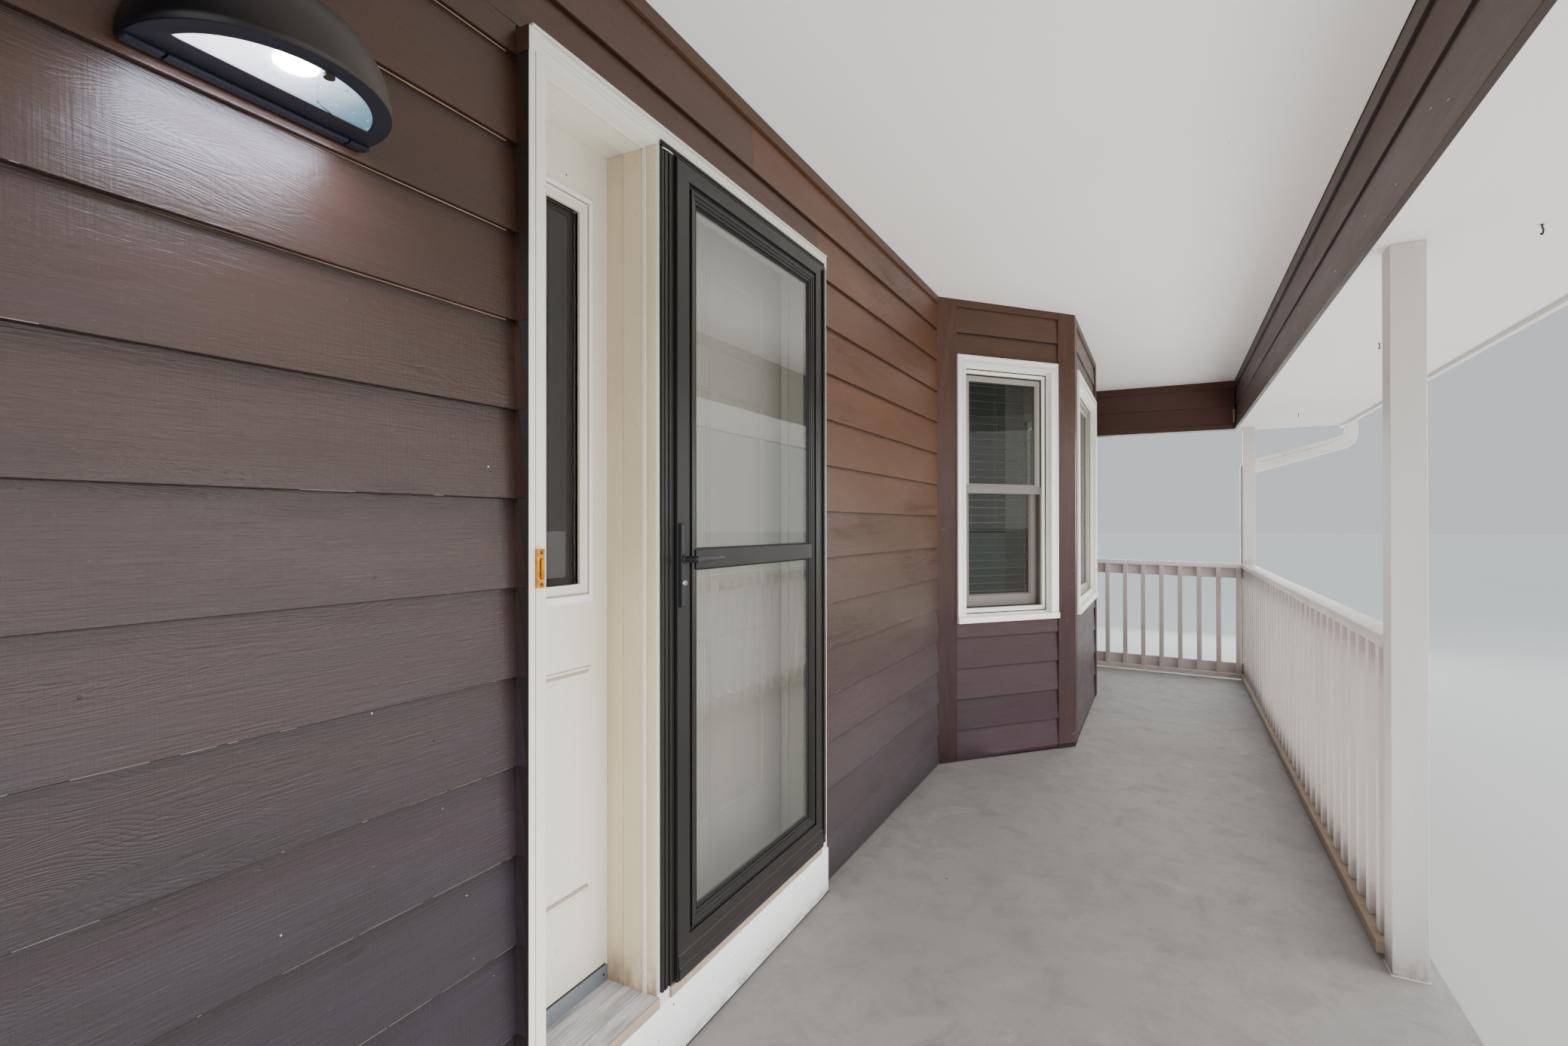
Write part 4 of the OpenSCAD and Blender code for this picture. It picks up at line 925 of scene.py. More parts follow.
# worn spots along the lower butts, which also stand in for the painted highlight where the butt edges catch the light
p = Piece("butt_wear_and_highlight", ["edge_wear_and_highlight", "nail_bright"])
wr = random.Random(5)
for k in range(1, 11):
    z0 = LAP_Z0 + k * LAP
    n_w = 9 if k < 7 else 4
    for side in ((30, 1280), (2720, 4250)):
        for _ in range(n_w):
            u = wr.uniform(*side)
            ln = wr.choice((5, 8, 12, 22, 40, 75))
            u2 = min(u + ln, side[1])
            hh = wr.uniform(0.3, 0.9)
            p.along_u(u, u2, [(2.1, z0 + 0.3), (1.55, z0 + 0.5), (1.5, z0 + 0.6 + hh * 0.6), (2.2, z0 + 1.0 + hh)], 0, steps=max(1, int(ln / 12)), wob=0.5)
# longer pale runs along the lower joints: worn edges and painted highlight on the butt edges
for k, ua, ub in ((2, 420, 1278), (3, 500, 1279), (3, 180, 300), (4, 860, 1276), (4, 420, 560), (5, 1060, 1270)):
    z0 = LAP_Z0 + k * LAP
    u = ua
    while u < ub:
        u2 = min(u + wr.uniform(60, 190), ub)
        hh = wr.uniform(0.25, 0.6)
        p.along_u(u, u2, [(2.1, z0 + 0.3), (1.55, z0 + 0.5), (1.5, z0 + 0.6 + hh * 0.6), (2.2, z0 + 1.0 + hh)], 0, steps=max(1, int((u2 - u) / 12)), wob=0.4)
        u = u2 + wr.uniform(2, 26)
for x, z in ((1130, 993), (1240, 640), (560, 1262), (1000, 1190), (860, 905), (1190, 700), (420, 640), (1080, 560), (3400, 700), (3700, 905), (3100, 1500)):
    p.disc((x, wall_face(z) + 0.1, z), 1.6, 0.4, "d", 1, 8)
p.done()

# pale line of bare wood in the joints of the upper courses
p = Piece("lap_light_lines", ["tan_wood"])
for k in range(15):
    z0 = LAP_Z0 + k * LAP
    if z0 < 1850 or z0 > FRIEZE - 20:
        continue
    xa_ = 560 + 130 * ((k * 7) % 3)
    rings = []
    n = 22
    for i in range(n + 1):
        u = xa_ + (UNIT_L - 20 - xa_) * i / n
        t = 0.72 * min(1.0, 0.12 + 1.3 * i / n) * (0.85 + 0.4 * noise.noise(Vector((u * 0.02, k, 9.0))))
        rings.append([(u, y, z) for y, z in ((11.9, z0 - 0.2), (11.9 - 2.6 * t, z0 - 0.2), (11.9 - 3.0 * t, z0 - 0.9 * t - 0.2), (11.9 - 2.2 * t, z0 - 2.0 * t - 0.2), (11.8, z0 - 2.2 * t - 0.2))])
    p.loft(rings, 0, "u")
p.done()


# ------------------------------------------------------------------ bay windows
CAS_PROF = [(0, 20), (0, -10.8), (1.2, -12), (11, -12), (12.6, -10.0), (16.5, -8.4), (24, -7.6), (31, -7.8), (35.5, -9.0), (38, -11.3), (40, -12), (50.5, -12), (53, -11), (54, -8.6), (54, 20)]


def window(tag, f, cx1, cx2, o1, o2, hung):
    """casing, frame, sashes and blind of one window; cx casing edges, o frame's outer edges"""
    p = Piece("window_casing_" + tag, ["window_white"], f)
    z1, z2 = 937, 2457
    # casing: section measured inwards from the outer edge, so out = 54 - inset from the inner rectangle
    prof = [(54 - a, d) for a, d in CAS_PROF]
    p.ring(cx1 + 54, cx2 - 54, z1 + 35, z2 - 54, prof, outer=(cx1, cx2, z1 + 35.4, z2), sides="ltr")
    # sill board with sloping top
    p.along_u(cx1, cx2, [(20, z1), (-18.5, z1), (-20, z1 + 1.5), (-20, z1 + 31), (-18.6, z1 + 33), (-12.5, z1 + 34.6), (20, z1 + 37.5)], steps=6)
    p.done(replaces=("window_casings",), bevel=0.5, seg=1)

    p = Piece("window_sash_" + tag, ["sash_cream", "gasket", "sash_painted_shade", "window_white", "sash_painted_half_shade", "track_grey"], f)
    fi1, fi2, b, t = (o1 + 50.75, o2 - 50.75, 1010, 2363) if hung else (o1 + 30, o2 - 30, 1010, 2363)
    w = fi1 - o1
    # frame: outer strip, dark groove, inner stop
    q = w - 24
    prof = [(0, 115), (0, 40), (2.2, 37.5), (q - 5, 37.5), (q - 3.4, 36.6), (q - 2.6, 44), (q - 0.6, 44), (q, 34), (q, 22), (q + 1.4, 20), (("o", 0), 20), (("o", 0), 115)]
    seg = [0, 0, 3, 1, 1, 1, 1, 3, 3, 3, 0, 0]
    p.ring(fi1, fi2, b, t, prof, outer=(o1, o2, 960, 2420), m=0, seg_m=seg)
    if hung:
        def sash(x1, x2, za, zb, wl, wb, wt, d0, d1, m):
            ins = (x1 + wl, x2 - wl, za + wb, zb - wt)
            prof = [(0, d1), (0, d0 + 11.5), (1.5, d0 + 9.5), (9, d0 + 3.2), (10.4, d0 + 3.2), (11.4, d0 + 0.2), (12.2, d0), (("o", 1.0), d0), (("o", 0), d0 + 1), (("o", 0), d1)]
            p.ring(*ins, prof, outer=(x1, x2, za, zb), m=m, seg_m=[m, 1, m, m, m, m, m, m, m, m])
        sash(fi1 + 0.6, fi2 - 0.6, 1677, t - 0.8, 39.4, 58, 39.2, 48, 76, 4)
        # dark weatherstrip round the upper sash, and down the tracks of the lower one
        p.ring(fi1 + 7, fi2 - 7, 1726, t - 7.5, [(0, 48.6), (0, 46.6), (1.2, 45.4), (("o", 0.3), 45.0), (("o", 0.3), 48.6)], outer=(fi1, fi2, 1720, t), sides="ltr", m=1)
        for a in (fi1 + 0.4, fi2 - 7.4):
            p.box((a, 50, b + 5), (a + 7, 79, 1676), 5, "z", ch=0.4)
        # line in the meeting rail
        p.box((fi1 + 1, 46.6, 1714), (fi2 - 1, 48.2, 1724), 2, "u", ch=0.6)
        p.box((fi1 + 1, 46.2, 1677.5), (fi2 - 1, 48.4, 1712.5), 2, "u", ch=0.7)
        for a in (fi1, fi2 - 15):
            p.box((a, 80, b), (a + 15, 107, t - 2), 2, "z", ch=0.6)
        sash(fi1 + 15.6, fi2 - 15.6, b + 8, 1725, 44.4, 72, 47, 79, 106, 2)
        for z in (b + 1.5,):
            p.box((fi1 + 0.6, 62, z), (fi2 - 0.6, 104, z + 5), 1, "u", ch=0.5)
        p.box((fi1 + 0.5, 24, b - 1), (fi2 - 0.5, 60, b + 4), 3, "u", ch=0.8)
        # sash lock on the meeting rail
        mid = (fi1 + fi2) / 2
        p.box((mid - 22, 70, 1725), (mid + 22, 84, 1731), 1, "u", ch=1.5)
    else:
        ins = (fi1 + 45, fi2 - 45, b + 45, t - 45)
        prof = [(0, 86), (0, 62), (1.5, 60), (10, 53.5), (11.4, 53.5), (12.4, 50.4), (13.4, 50), (("o", 1.6), 50), (("o", 0.6), 51), (("o", 0.6), 86)]
        p.ring(*ins, prof, outer=(fi1, fi2, b, t), m=4, seg_m=[4, 1, 4, 4, 4, 4, 4, 4, 4, 4])
    p.done(replaces=("window_sashes",), bevel=0.35, seg=1)

    p = Piece("window_blind_" + tag, ["blind"], f)
    d0 = 123 if hung else 117
    x1, x2 = fi1 + 5, fi2 - 5
    p.box((x1, d0 - 11, t - 28), (x2, d0 + 11, t - 0.4), 0, "u", ch=1.5)
    z = t - 46
    tilt = math.radians(9)
    while z > b + 20:
        off = rnd.uniform(0, 9)
        sag = 0.8
        rings = []
        for i in range(5):
            u = x1 + (x2 - x1) * i / 4
            dz = -sag * math.sin(math.pi * i / 4)
            sec = []
            for q_, hgt in ((-10.8, 0), (-5.5, 1.1), (0, 1.5), (5.5, 1.1), (10.8, 0), (10.8, -1.3), (5.5, -0.2), (0, 0.2), (-5.5, -0.2), (-10.8, -1.3)):
                sec.append((u, d0 + q_ * math.cos(tilt), z + hgt + q_ * math.sin(tilt) + dz))
            rings.append(sec)
        p.loft(rings, 0, "u", off)
        z -= 45
    p.box((x1, d0 - 10, b + 6), (x2, d0 + 10, b + 16), 0, "u", ch=1.5)
    n = 3 if hung else 5
    for i in range(n):
        u = x1 + (x2 - x1) * (i + 0.5) / n
        for q_ in (-10.9, 10.9):
            p.tube([(u, d0 + q_, t - 20), (u + 0.4, d0 + q_, (t + b) / 2), (u, d0 + q_, b + 12)], 0.7, 0, 6)
    p.done(replaces=("window_blinds",))


window("near", f_near, 118.5, 835, 152, 801.5, True)
window("far", f_far, 118.5, 835, 152, 801.5, True)
window("front", f_front, 5162.5, 6501.5, 5200, 6464, False)

# ------------------------------------------------------------------ door unit
p = Piece("door_casing_v", ["white_cas", "trim_brown", "dark_gap", "white_trim", "caulk"])
# left leg with a fine groove. The groove's floor and the leg's side are dark, painted shade; the siding's stain is laid
# on the side course by course, and a brown strip at the head
zt_ = CAS_TOP - 46
leg = [(1290, 18), (1290, -13.5), (1290, -28.9), (1291.3, -30), (1305.6, -30), (1306.4, -28.9), (1307.4, -28.9), (1308.2, -30), (1331.5, -30), (1334, -29.2), (1336.2, -27.4), (1337, -25), (1337, 18)]
p.along_z(324.2, HEAD_Z + 1, leg, 0, seg_m=[2, 2, 3, 0, 2, 2, 0, 0, 0, 3, 3, 0, 0])
p.box((1290, -29.6, HEAD_Z + 1), (1337, 18, CAS_TOP - 8.4), 0, "z", ch=0.6)
p.box((1289.1, -29.4, HEAD_Z - 4), (1291.2, 14.0, CAS_TOP - 6.4), 1, "z")
# head: three reeds, a shadow notch and a drip cap
head = [(18, 2417), (-25.5, 2417), (-28.6, 2418.2), (-30, 2421), (-30, 2430), (-28.4, 2431.6), (-28.4, 2433.4), (-30, 2435), (-30, 2442), (-28.4, 2443.6), (-28.4, 2445.2), (-30, 2446.8),
        (-30, 2456.5), (-27.6, 2458.6), (-27.6, 2461.8), (18, 2461.8)]
drip = [(-26, 2461.9), (-31.6, 2461.9), (-33, 2463), (-33.4, 2465.5), (-32, 2467.6), (18, 2468), (18, 2461.9)]
# the chamfer under the drip cap is dark: painted shade
p.along_u(1291.0, 2697.6, head, 0, seg_m=[0, 3, 3, 0, 4, 0, 0, 0, 4, 0, 0, 0, 2, 3, 0, 0], steps=12, wob=0.8)
p.along_u(1298.0, 2697.6, drip, 4, steps=12, wob=0.8)
# mullion and right leg
mul = [(1699, 18), (1699, -25.5), (1700.4, -28.6), (1703, -30), (1740, -30), (1743.6, -29), (1745, -26.5), (1745, 18)]
p.along_z(324.2, HEAD_Z, mul, 0, seg_m=[0, 3, 3, 0, 0, 0, 0, 0])
rl = [(2645, 18), (2645, -26.5), (2646.4, -29), (2650, -30), (2694.4, -30), (2697, -28.6), (2697, -14), (2697, 18)]
p.along_z(324.2, HEAD_Z, rl, 0, seg_m=[0, 0, 0, 0, 3, 3, 1, 0])
# board under the openings, behind the sills
p.box((SIDE_L, 0, 324.4), (SIDE_R, 17.5, 351), 0, "u", ch=0.4)
p.box((DOOR_L, 0, 324.4), (DOOR_R, 17.5, 351), 0, "u", ch=0.4)
p.done(replaces=("door_casing",), bevel=0.35, seg=1)

# frame of the door unit: its visible linings as separate boards
from_cad("door_frame", "door_frame_v", ["cream_light"], 1.0, ax="z")
p = Piece("door_unit_linings", ["cream_board", "cream_light", "dark_gap"])
bead_m = [(1699, 19.2), (1696, 19.2), (1694.3, 16.8), (1693.8, 12.3), (1694.3, 7.8), (1696, 5.4), (1699, 5.4)]
p.along_z(SILL_Z, HEAD_Z - 5, bead_m, 1)
p.along_z(SILL_Z, HEAD_Z - 2, [(1699, 77.0), (1697.6, 77.0), (1697, 76.2), (1697, 20.2), (1697.6, 19.4), (1699, 19.4)], 0)
p.along_z(SILL_Z, HEAD_Z - 2, [(1699, 132.8), (1698.0, 132.8), (1697.8, 132), (1697.8, 79.2), (1698.4, 78.2), (1699, 78.2)], 0)
p.along_z(SILL_Z, HEAD_Z - 2, [(1699, 5.2), (1698.2, 5.2), (1697.9, 4.4), (1697.9, -21), (1698.4, -24), (1699, -24)], 0)
# same on the left side, which the photo doesn't show
p.along_z(SILL_Z, HEAD_Z - 5, [(SIDE_L * 2 + (1699 - 1337) - u, y) for u, y in bead_m], 1)
p.along_z(SILL_Z, HEAD_Z - 2, [(1337, 77.0), (1338.4, 77.0), (1339, 76.2), (1339, 20.2), (1338.4, 19.4), (1337, 19.4)], 0)
p.along_z(SILL_Z, HEAD_Z - 2, [(1337, 132.8), (1338.0, 132.8), (1338.2, 132), (1338.2, 79.2), (1337.6, 78.2), (1337, 78.2)], 0)
# recess ceiling: bead, board, dark joint, board
p.along_u(1337.2, 1698.8, [(19.2, 2417), (19.2, 2414), (16.8, 2412.3), (12.3, 2411.8), (7.8, 2412.3), (5.4, 2414), (5.4, 2417)], 1)
p.along_u(1339, 1697, [(77.0, 2417), (77.0, 2415.6), (76.2, 2415), (20.2, 2415), (19.4, 2415.6), (19.4, 2417)], 1)
p.along_u(1338.4, 1697.6, [(132.8, 2417), (132.8, 2416), (132, 2415.8), (79.2, 2415.8), (78.2, 2416.4), (78.2, 2417)], 1)
# corner rounds where the lining meets the panel
p.along_z(SILL_Z + 1, HEAD_Z - 3, [(1697.6, 133), (1693.6, 133), (1694.6, 130.4), (1697.6, 129)], 1)
p.along_z(SILL_Z + 1, HEAD_Z - 3, [(1338.4, 133), (1342.4, 133), (1341.4, 130.4), (1338.4, 129)], 1)
p.done(bevel=0.3, seg=1)

# sidelight: moulded bead round the pane, raised panel below it
from_cad("sidelight_panel", "sidelight_board", ["cream_light"], 0.8, ax="z")
p = Piece("sidelight_mouldings", ["window_white", "gasket", "bronze_dark", "cream_light", "hook_dark", "cream_painted_shade"])
bead = [(0, 149.4), (0, 141), (2.2, 140.2), (4, 137.6), (10, 137), (12, 134.6), (19, 133.6), (21.5, 130.4), (26, 127.4), (33, 126.2), (39.5, 127.6), (43.6, 130.6), (45, 133.3), (44, 133.6), (2, 149.4)]
# the bead's hollows take the darker cream: painted shade
p.ring(1430, 1606, 1350, 2249, bead, m=0, seg_m=[0, 1, 0, 5, 0, 5, 0, 5, 0, 0, 0, 0, 5, 0, 0])
# dark spacer behind the pane
p.ring(1452, 1584, 1368, 2229, [(0, 162), (0, 157.2), (("o", 0), 157.2), (("o", 0), 162)], outer=(1430.4, 1605.6, 1350.4, 2248.6), m=2)
p.panel(1394, 1642, 606, 1148, [(0, 133.2), (0.6, 131.2), (5.5, 130.4), (10, 131.4), (13, 132.9), (20, 132.8), (43, 129.4), (45.5, 129.2)], 3)
# darker strips in the groove of the raised panel, top and bottom only: painted shade
p.ring(1414, 1622, 626, 1128, [(5.0, 133.0), (5.0, 131.6), (6.0, 130.2), (12.0, 129.9), (13.6, 130.4), (13.6, 133.0)], m=5, sides="bt")
p.ring(1394, 1642, 606, 1148, [(0.2, 133.1), (0.2, 132.6), (1.6, 132.5), (1.6, 133.1)], m=5, sides="bt")
# nail hole
p.disc((1560, 133.1, 2318), 2.4, 0.35, "d", 4, 10)
p.done(bevel=0.25, seg=1)

# sill boards, metal strip, riser board
p = Piece("door_sill_v", ["old_wood", "strip_grey", "dirty_base", "hook_dark", "dark_gap"])
for x1, x2, y2 in ((SIDE_L + 0.6, SIDE_R - 0.6, 132.4), (DOOR_L + 0.6, DOOR_R - 0.6, 132.4)):
    ys = [-29, 21, 76, y2]
    for i in range(3):
        a, b_ = ys[i] + (0.7 if i else 0), ys[i + 1] - 0.7
        p.along_u(x1, x2, [(a, 331), (a, 350.8), (a + 1.2, 352), (b_ - 1.2, 352), (b_, 350.8), (b_, 331)], 0, steps=6, wob=0.5)
    p.along_u(x1, x2, [(-29.4, 325), (-33, 325), (-34, 326.5), (-34, 349.6), (-32.6, 351.4), (-29.6, 351.8)], 2, steps=8, wob=0.6)
p.box((UNIT_L + 24, 20, 161), (DOOR_R + 30, 176, 330), 0, "u", ch=1)
p.box((DOOR_L + 0.5, 133, 331), (DOOR_R - 0.5, 177, 351.6), 1, "u", ch=2)
p.box((SIDE_L + 0.5, 134, 331), (SIDE_R - 0.5, 177, 351.6), 0, "u", ch=1)
p.along_u(SIDE_L + 1.2, SIDE_R - 2.4, [(132.9, 353), (126.4, 353.4), (125.8, 355), (126.6, 389.6), (128.4, 391.2), (132.9, 391.2)], 1, steps=5, wob=0.8)
p.along_u(SIDE_L + 1.2, SIDE_R - 2.4, [(133, 391.6), (131.6, 391.6), (131.6, 394.2), (133, 394.2)], 4, steps=3)
p.disc((1682, 126.6, 372), 3.4, 1.2, "d", 3, 12)
p.done(replaces=("door_sill",), bevel=0.3, seg=1)

p = Piece("riser_board_v", ["riser_white", "dark_gap", "hook_dark"])
rings = []
for i in range(31):
    u = 1274 + (2713 - 1274) * i / 30
    w = 0.7 * noise.noise(Vector((u * 0.004, 2.0, 0)))
    e = 2.2 if i in (0, 30) else 0
    rings.append([(u, d, z) for d, z in ((18, 163.4), (-28.4 + e + w * 0.4, 163.4 + e), (-30 + e + w * 0.4, 165 + e), (-30 + e + w * 0.4, 321.6 - e), (-28.2 + e + w * 0.4, 323.9 - e), (18, 323.9))])
p.loft(rings, 0, "u")
p.along_u(1274, 2713, [(16, 160.4), (-29.0, 160.2), (-28.6, 163.2), (16, 163.2)], 1, steps=10, wob=0.3)
for x in (1330, 1760, 2240, 2640):
    p.disc((x, -29.9, 300), 2.6, 0.35, "d", 2, 10)
    p.disc((x + 6, -29.9, 190), 2.6, 0.35, "d", 2, 10)
p.done(replaces=("riser_board",))

# ------------------------------------------------------------------ doorbell
p = Piece("doorbell_v", ["brass", "brass_dark", "dark_gap"])
prof = [(0, -30), (0, -36.2), (1.6, -38.2), (3.0, -38.2), (4.2, -37.4)]
p.panel(1306, 1324, 1369, 1445, prof, 0)
p.box((1310.6, -44, 1387), (1319.4, -37.2, 1427), 0, "z", ch=2.4)
for z in (1376.5, 1437.5):
    p.disc((1315, -37.2, z), 3.3, 1.5, "d", 1, 14, 0.4)
    p.box((1312.4, -39.3, z - 0.5), (1317.6, -38.9, z + 0.5), 2, "u")
p.done(replaces=("doorbell",), bevel=0.35, seg=2)

# ------------------------------------------------------------------ entry door
p = Piece("entry_door_v", ["entry_paint", "brass_dark", "dark_gap"])
EL, ER, EB, ET = 1750, 2640, 358, 2411
rows_ = [(SILL_Z + 230, SILL_Z + 800), (SILL_Z + 930, SILL_Z + 1560), (SILL_Z + 1680, SILL_Z + 1930)]
cols_ = [(EL + 125, EL + 420), (EL + 470, EL + 765)]
# stiles and rails
for a, b_ in ((EL, EL + 125), (EL + 420, EL + 470), (EL + 765, ER)):
    p.box((a + 0.1, 131, EB), (b_ - 0.1, 175, ET), 0, "z", ch=0.5)
zr = [EB] + [z for r in rows_ for z in r] + [ET]
for i in range(0, 8, 2):
    for a, b_ in cols_:
        p.box((a, 131.3, zr[i]), (b_, 174.7, zr[i + 1]), 0, "u", ch=0.4)
for r in rows_:
    for c in cols_:
        p.panel(c[0], c[1], r[0], r[1], [(0, 140), (0, 132.4), (3, 132.0), (6, 133.0), (11, 137.8), (14, 139.0), (22, 139.0), (46, 134.2), (50, 134.0)], 0)
        p.panel(c[0], c[1], r[0], r[1], [(0, 166), (0, 173.6), (3, 174.0), (6, 173.0), (11, 168.2), (14, 167.0), (22, 167.0), (46, 171.8), (50, 172.0)], 0)
        p.box((c[0] + 2, 140.2, r[0] + 2), (c[1] - 2, 165.8, r[1] - 2), 0, "z")
for z in (SILL_Z + 200, SILL_Z + 1000, SILL_Z + 1800):
    for i in range(5):
        n = 20
        z1_, z2_ = z + i * 20 + 0.4, z + (i + 1) * 20 - 0.4
        rings = [[(2642.5 + rr * math.cos(2 * math.pi * k / n), 185 + rr * math.sin(2 * math.pi * k / n), zz) for k in range(n)] for rr, zz in ((5.4, z1_), (6, z1_ + 0.8), (6, z2_ - 0.8), (5.4, z2_))]
        p.loft(rings, 1, "z")
    p.box((2624, 174.8, z + 2), (2641, 185, z + 98), 1, "z", ch=0.8)
p.done("entry_leaf", ("entry_door",), bevel=0.3, seg=1)

p = Piece("entry_knob_v", ["brass", "brass_dark"])
for s, y0 in ((-1, 131), (1, 175)):
    n = 36
    prof = [(33, 0), (33, 4.5), (30, 7), (14, 8.5), (11, 11), (11, 27), (14, 31), (20, 35), (25.5, 41), (27.5, 48), (26, 54), (20, 57.5), (8, 58.6)]
    rings = [[(1820 + r_ * math.cos(2 * math.pi * k / n), y0 + s * h_ * 0.97, 1312 + r_ * math.sin(2 * math.pi * k / n)) for k in range(n)] for r_, h_ in prof]
    p.loft(rings, 0, "z")
    prof = [(27, 0), (27, 11), (24.5, 14.5), (14, 16), (12.5, 15)]
    rings = [[(1820 + r_ * math.cos(2 * math.pi * k / n), y0 + s * h_, 1462 + r_ * math.sin(2 * math.pi * k / n)) for k in range(n)] for r_, h_ in prof]
    p.loft(rings, 0, "z")
    p.box((1818.6, min(y0 + s * 15, y0 + s * 15.8), 1456), (1821.4, max(y0 + s * 15, y0 + s * 15.8), 1468), 1, "z")
p.done("entry_leaf", ("entry_knob",))

# ------------------------------------------------------------------ storm door frame
p = Piece("storm_frame_v", ["bronze", "bronze_dark", "gasket", "caulk"])
zb, zt = 361, 2417
# in the frame's sections below, the step and groove sides take the near-black bronze: painted shade
left = [(1703, -30), (1703, -36.6), (1704.4, -38), (1711, -38), (1712, -35.4), (1715, -35.4), (1716, -38), (1726, -38), (1727.2, -34.4), (1732.6, -34.4), (1733.8, -38), (1740.6, -38), (1742, -36),
        (1746, -36), (1747.4, -37.8), (1751, -37), (1751, -0.5), (1745.2, -0.5), (1745.2, -30)]
p.along_z(zb, zt, left, 0, seg_m=[0, 0, 0, 1, 2, 1, 0, 1, 2, 1, 0, 1, 2, 1, 0, 1, 1, 1, 0])
rightp = [(2669, -30), (2669, -36.6), (2667.6, -38), (2655, -38), (2654, -35.4), (2651, -35.4), (2650, -38), (2641, -38), (2639.6, -36.4), (2634.6, -36.4), (2633, -37.6), (2633, -0.5), (2644.8, -0.5), (2644.8, -30)]
p.along_z(zb, zt, rightp, 0, seg_m=[0, 0, 0, 1, 2, 1, 0, 1, 2, 1, 1, 1, 0, 0])
hd = [(-30, 2428), (-36.8, 2428), (-38, 2426.8), (-38, 2421), (-35.6, 2420), (-35.6, 2417.6), (-38, 2416.6), (-38, 2413.4), (-36.4, 2412), (-0.5, 2412), (-0.5, 2416.8), (-30, 2416.8)]
p.along_u(1703, 2664, hd, 0, seg_m=[0, 0, 0, 1, 2, 1, 0, 1, 1, 1, 0, 0])
# hinge rod with its knuckles along the hinge side
n = 14
for i in range(10):
    z1_, z2_ = 400 + i * 199.5 + 0.5, 400 + (i + 1) * 199.5 - 0.5
    rings = [[(2630 + r_ * math.cos(2 * math.pi * k / n), -49 + r_ * math.sin(2 * math.pi * k / n), zz) for k in range(n)] for r_, zz in ((2.2, z1_), (2.8, z1_ + 0.6), (2.8, z2_ - 0.6), (2.2, z2_))]
    p.loft(rings, 0, "z")
p.along_z(400, 2395, [(2630.5, -51.4), (2642, -51.4), (2642, -38.2), (2634, -38.2), (2634, -46.5), (2630.5, -46.5)], 0)
# notch filler and caulk at the top corner of the latch side
p.box((1704, -38.6, 2404), (1745, -36.6, 2418), 1, "u", ch=0.5)
p.tube([(1703.5, -38.4, 2408), (1716, -39.0, 2409.5), (1731, -38.8, 2411), (1745, -38.6, 2410)], 1.3, 3, 8)
p.done(replaces=("storm_frame",), bevel=0.25, seg=1)

# ------------------------------------------------------------------ storm door leaf
p = Piece("storm_leaf_v", ["bronze", "bronze_dark", "gasket"])
prof = [(0, -15), (0, -31.4), (1.6, -33), (4.6, -33), (5.6, -36.4), (13, -37.4), (14.4, -39.8), (22, -41.2), (24, -43.4), (31.6, -44.4), (33, -43.6), (33, -38.6), (45, -38.6), (45, -44.0), (46.2, -45),
        (("o", 1.4), -45), (("o", 0), -43.6), (("o", 0), -15)]
# the step and groove sides take the near-black bronze: painted shade
seg = [1, 2, 2, 1, 0, 1, 0, 1, 0, 0, 1, 2, 1, 0, 0, 0, 0, 0]
p.ring(1854, 2530, 500, 2320, prof, outer=(1757, 2627, 358, 2406), m=0, seg_m=seg)
# middle rail
p.along_u(1841, 2543, [(-15.5, 1378), (-41.6, 1378), (-43.4, 1379.8), (-43.4, 1427.2), (-41.6, 1429), (-15.5, 1429)], 0)
# black seals at both lites
for a, b_ in ((500, 1378), (1429, 2320)):
    p.ring(1858, 2526, a + 4, b_ - 4, [(0, -29.4), (0, -32.6), (4.2, -33.4), (4.2, -29.4)], m=2)
# two-step expander at the foot
p.along_u(1758.5, 2625.5, [(-44.6, 424), (-46.4, 422), (-47.6, 418.4), (-47.6, 366), (-46.6, 360.5), (-44.6, 360)], 0)
p.along_u(1760, 2624, [(-47.4, 393), (-49.4, 391), (-50, 388), (-50, 364), (-48.8, 361.4), (-47.4, 361)], 0)
p.along_u(1760, 2624, [(-22, 357.8), (-38, 357.8), (-38, 359), (-22, 359)], 2)
p.done("storm_door", ("storm_leaf",), bevel=0.3, seg=2)

p = Piece("storm_handle_plate_v", ["black_metal", "nickel", "dark_gap"])
for a, s, y0 in ((1, -1, -45), (2, 1, -15)):
    ys = (y0, y0 + s * 7.4, y0 + s * 9.6, y0 + s * 9.6, y0 + s * 8.4, y0 + s * 8.4)
    p.panel(1762, 1782, 1287, 1496, [(0, ys[0]), (0, ys[1]), (1.8, ys[2]), (3.2, ys[3]), (4.0, ys[4]), (9.0, ys[5])], 0)
# key cylinder and its blade slot
n = 26
rings = [[(1772 + r_ * math.cos(2 * math.pi * k / n), -52.8 - h_, 1347 + r_ * math.sin(2 * math.pi * k / n)) for k in range(n)] for r_, h_ in ((8.6, 0), (8.6, 3), (7.8, 4.4), (7.2, 4.6), (6.6, 6.8), (2.2, 7.2))]
p.loft(rings, 1, "z")
p.box((1771.3, -60.5, 1342), (1772.7, -59.8, 1352), 2, "z")
p.done("storm_door", ("storm_handle_plate",), bevel=0.3, seg=2)

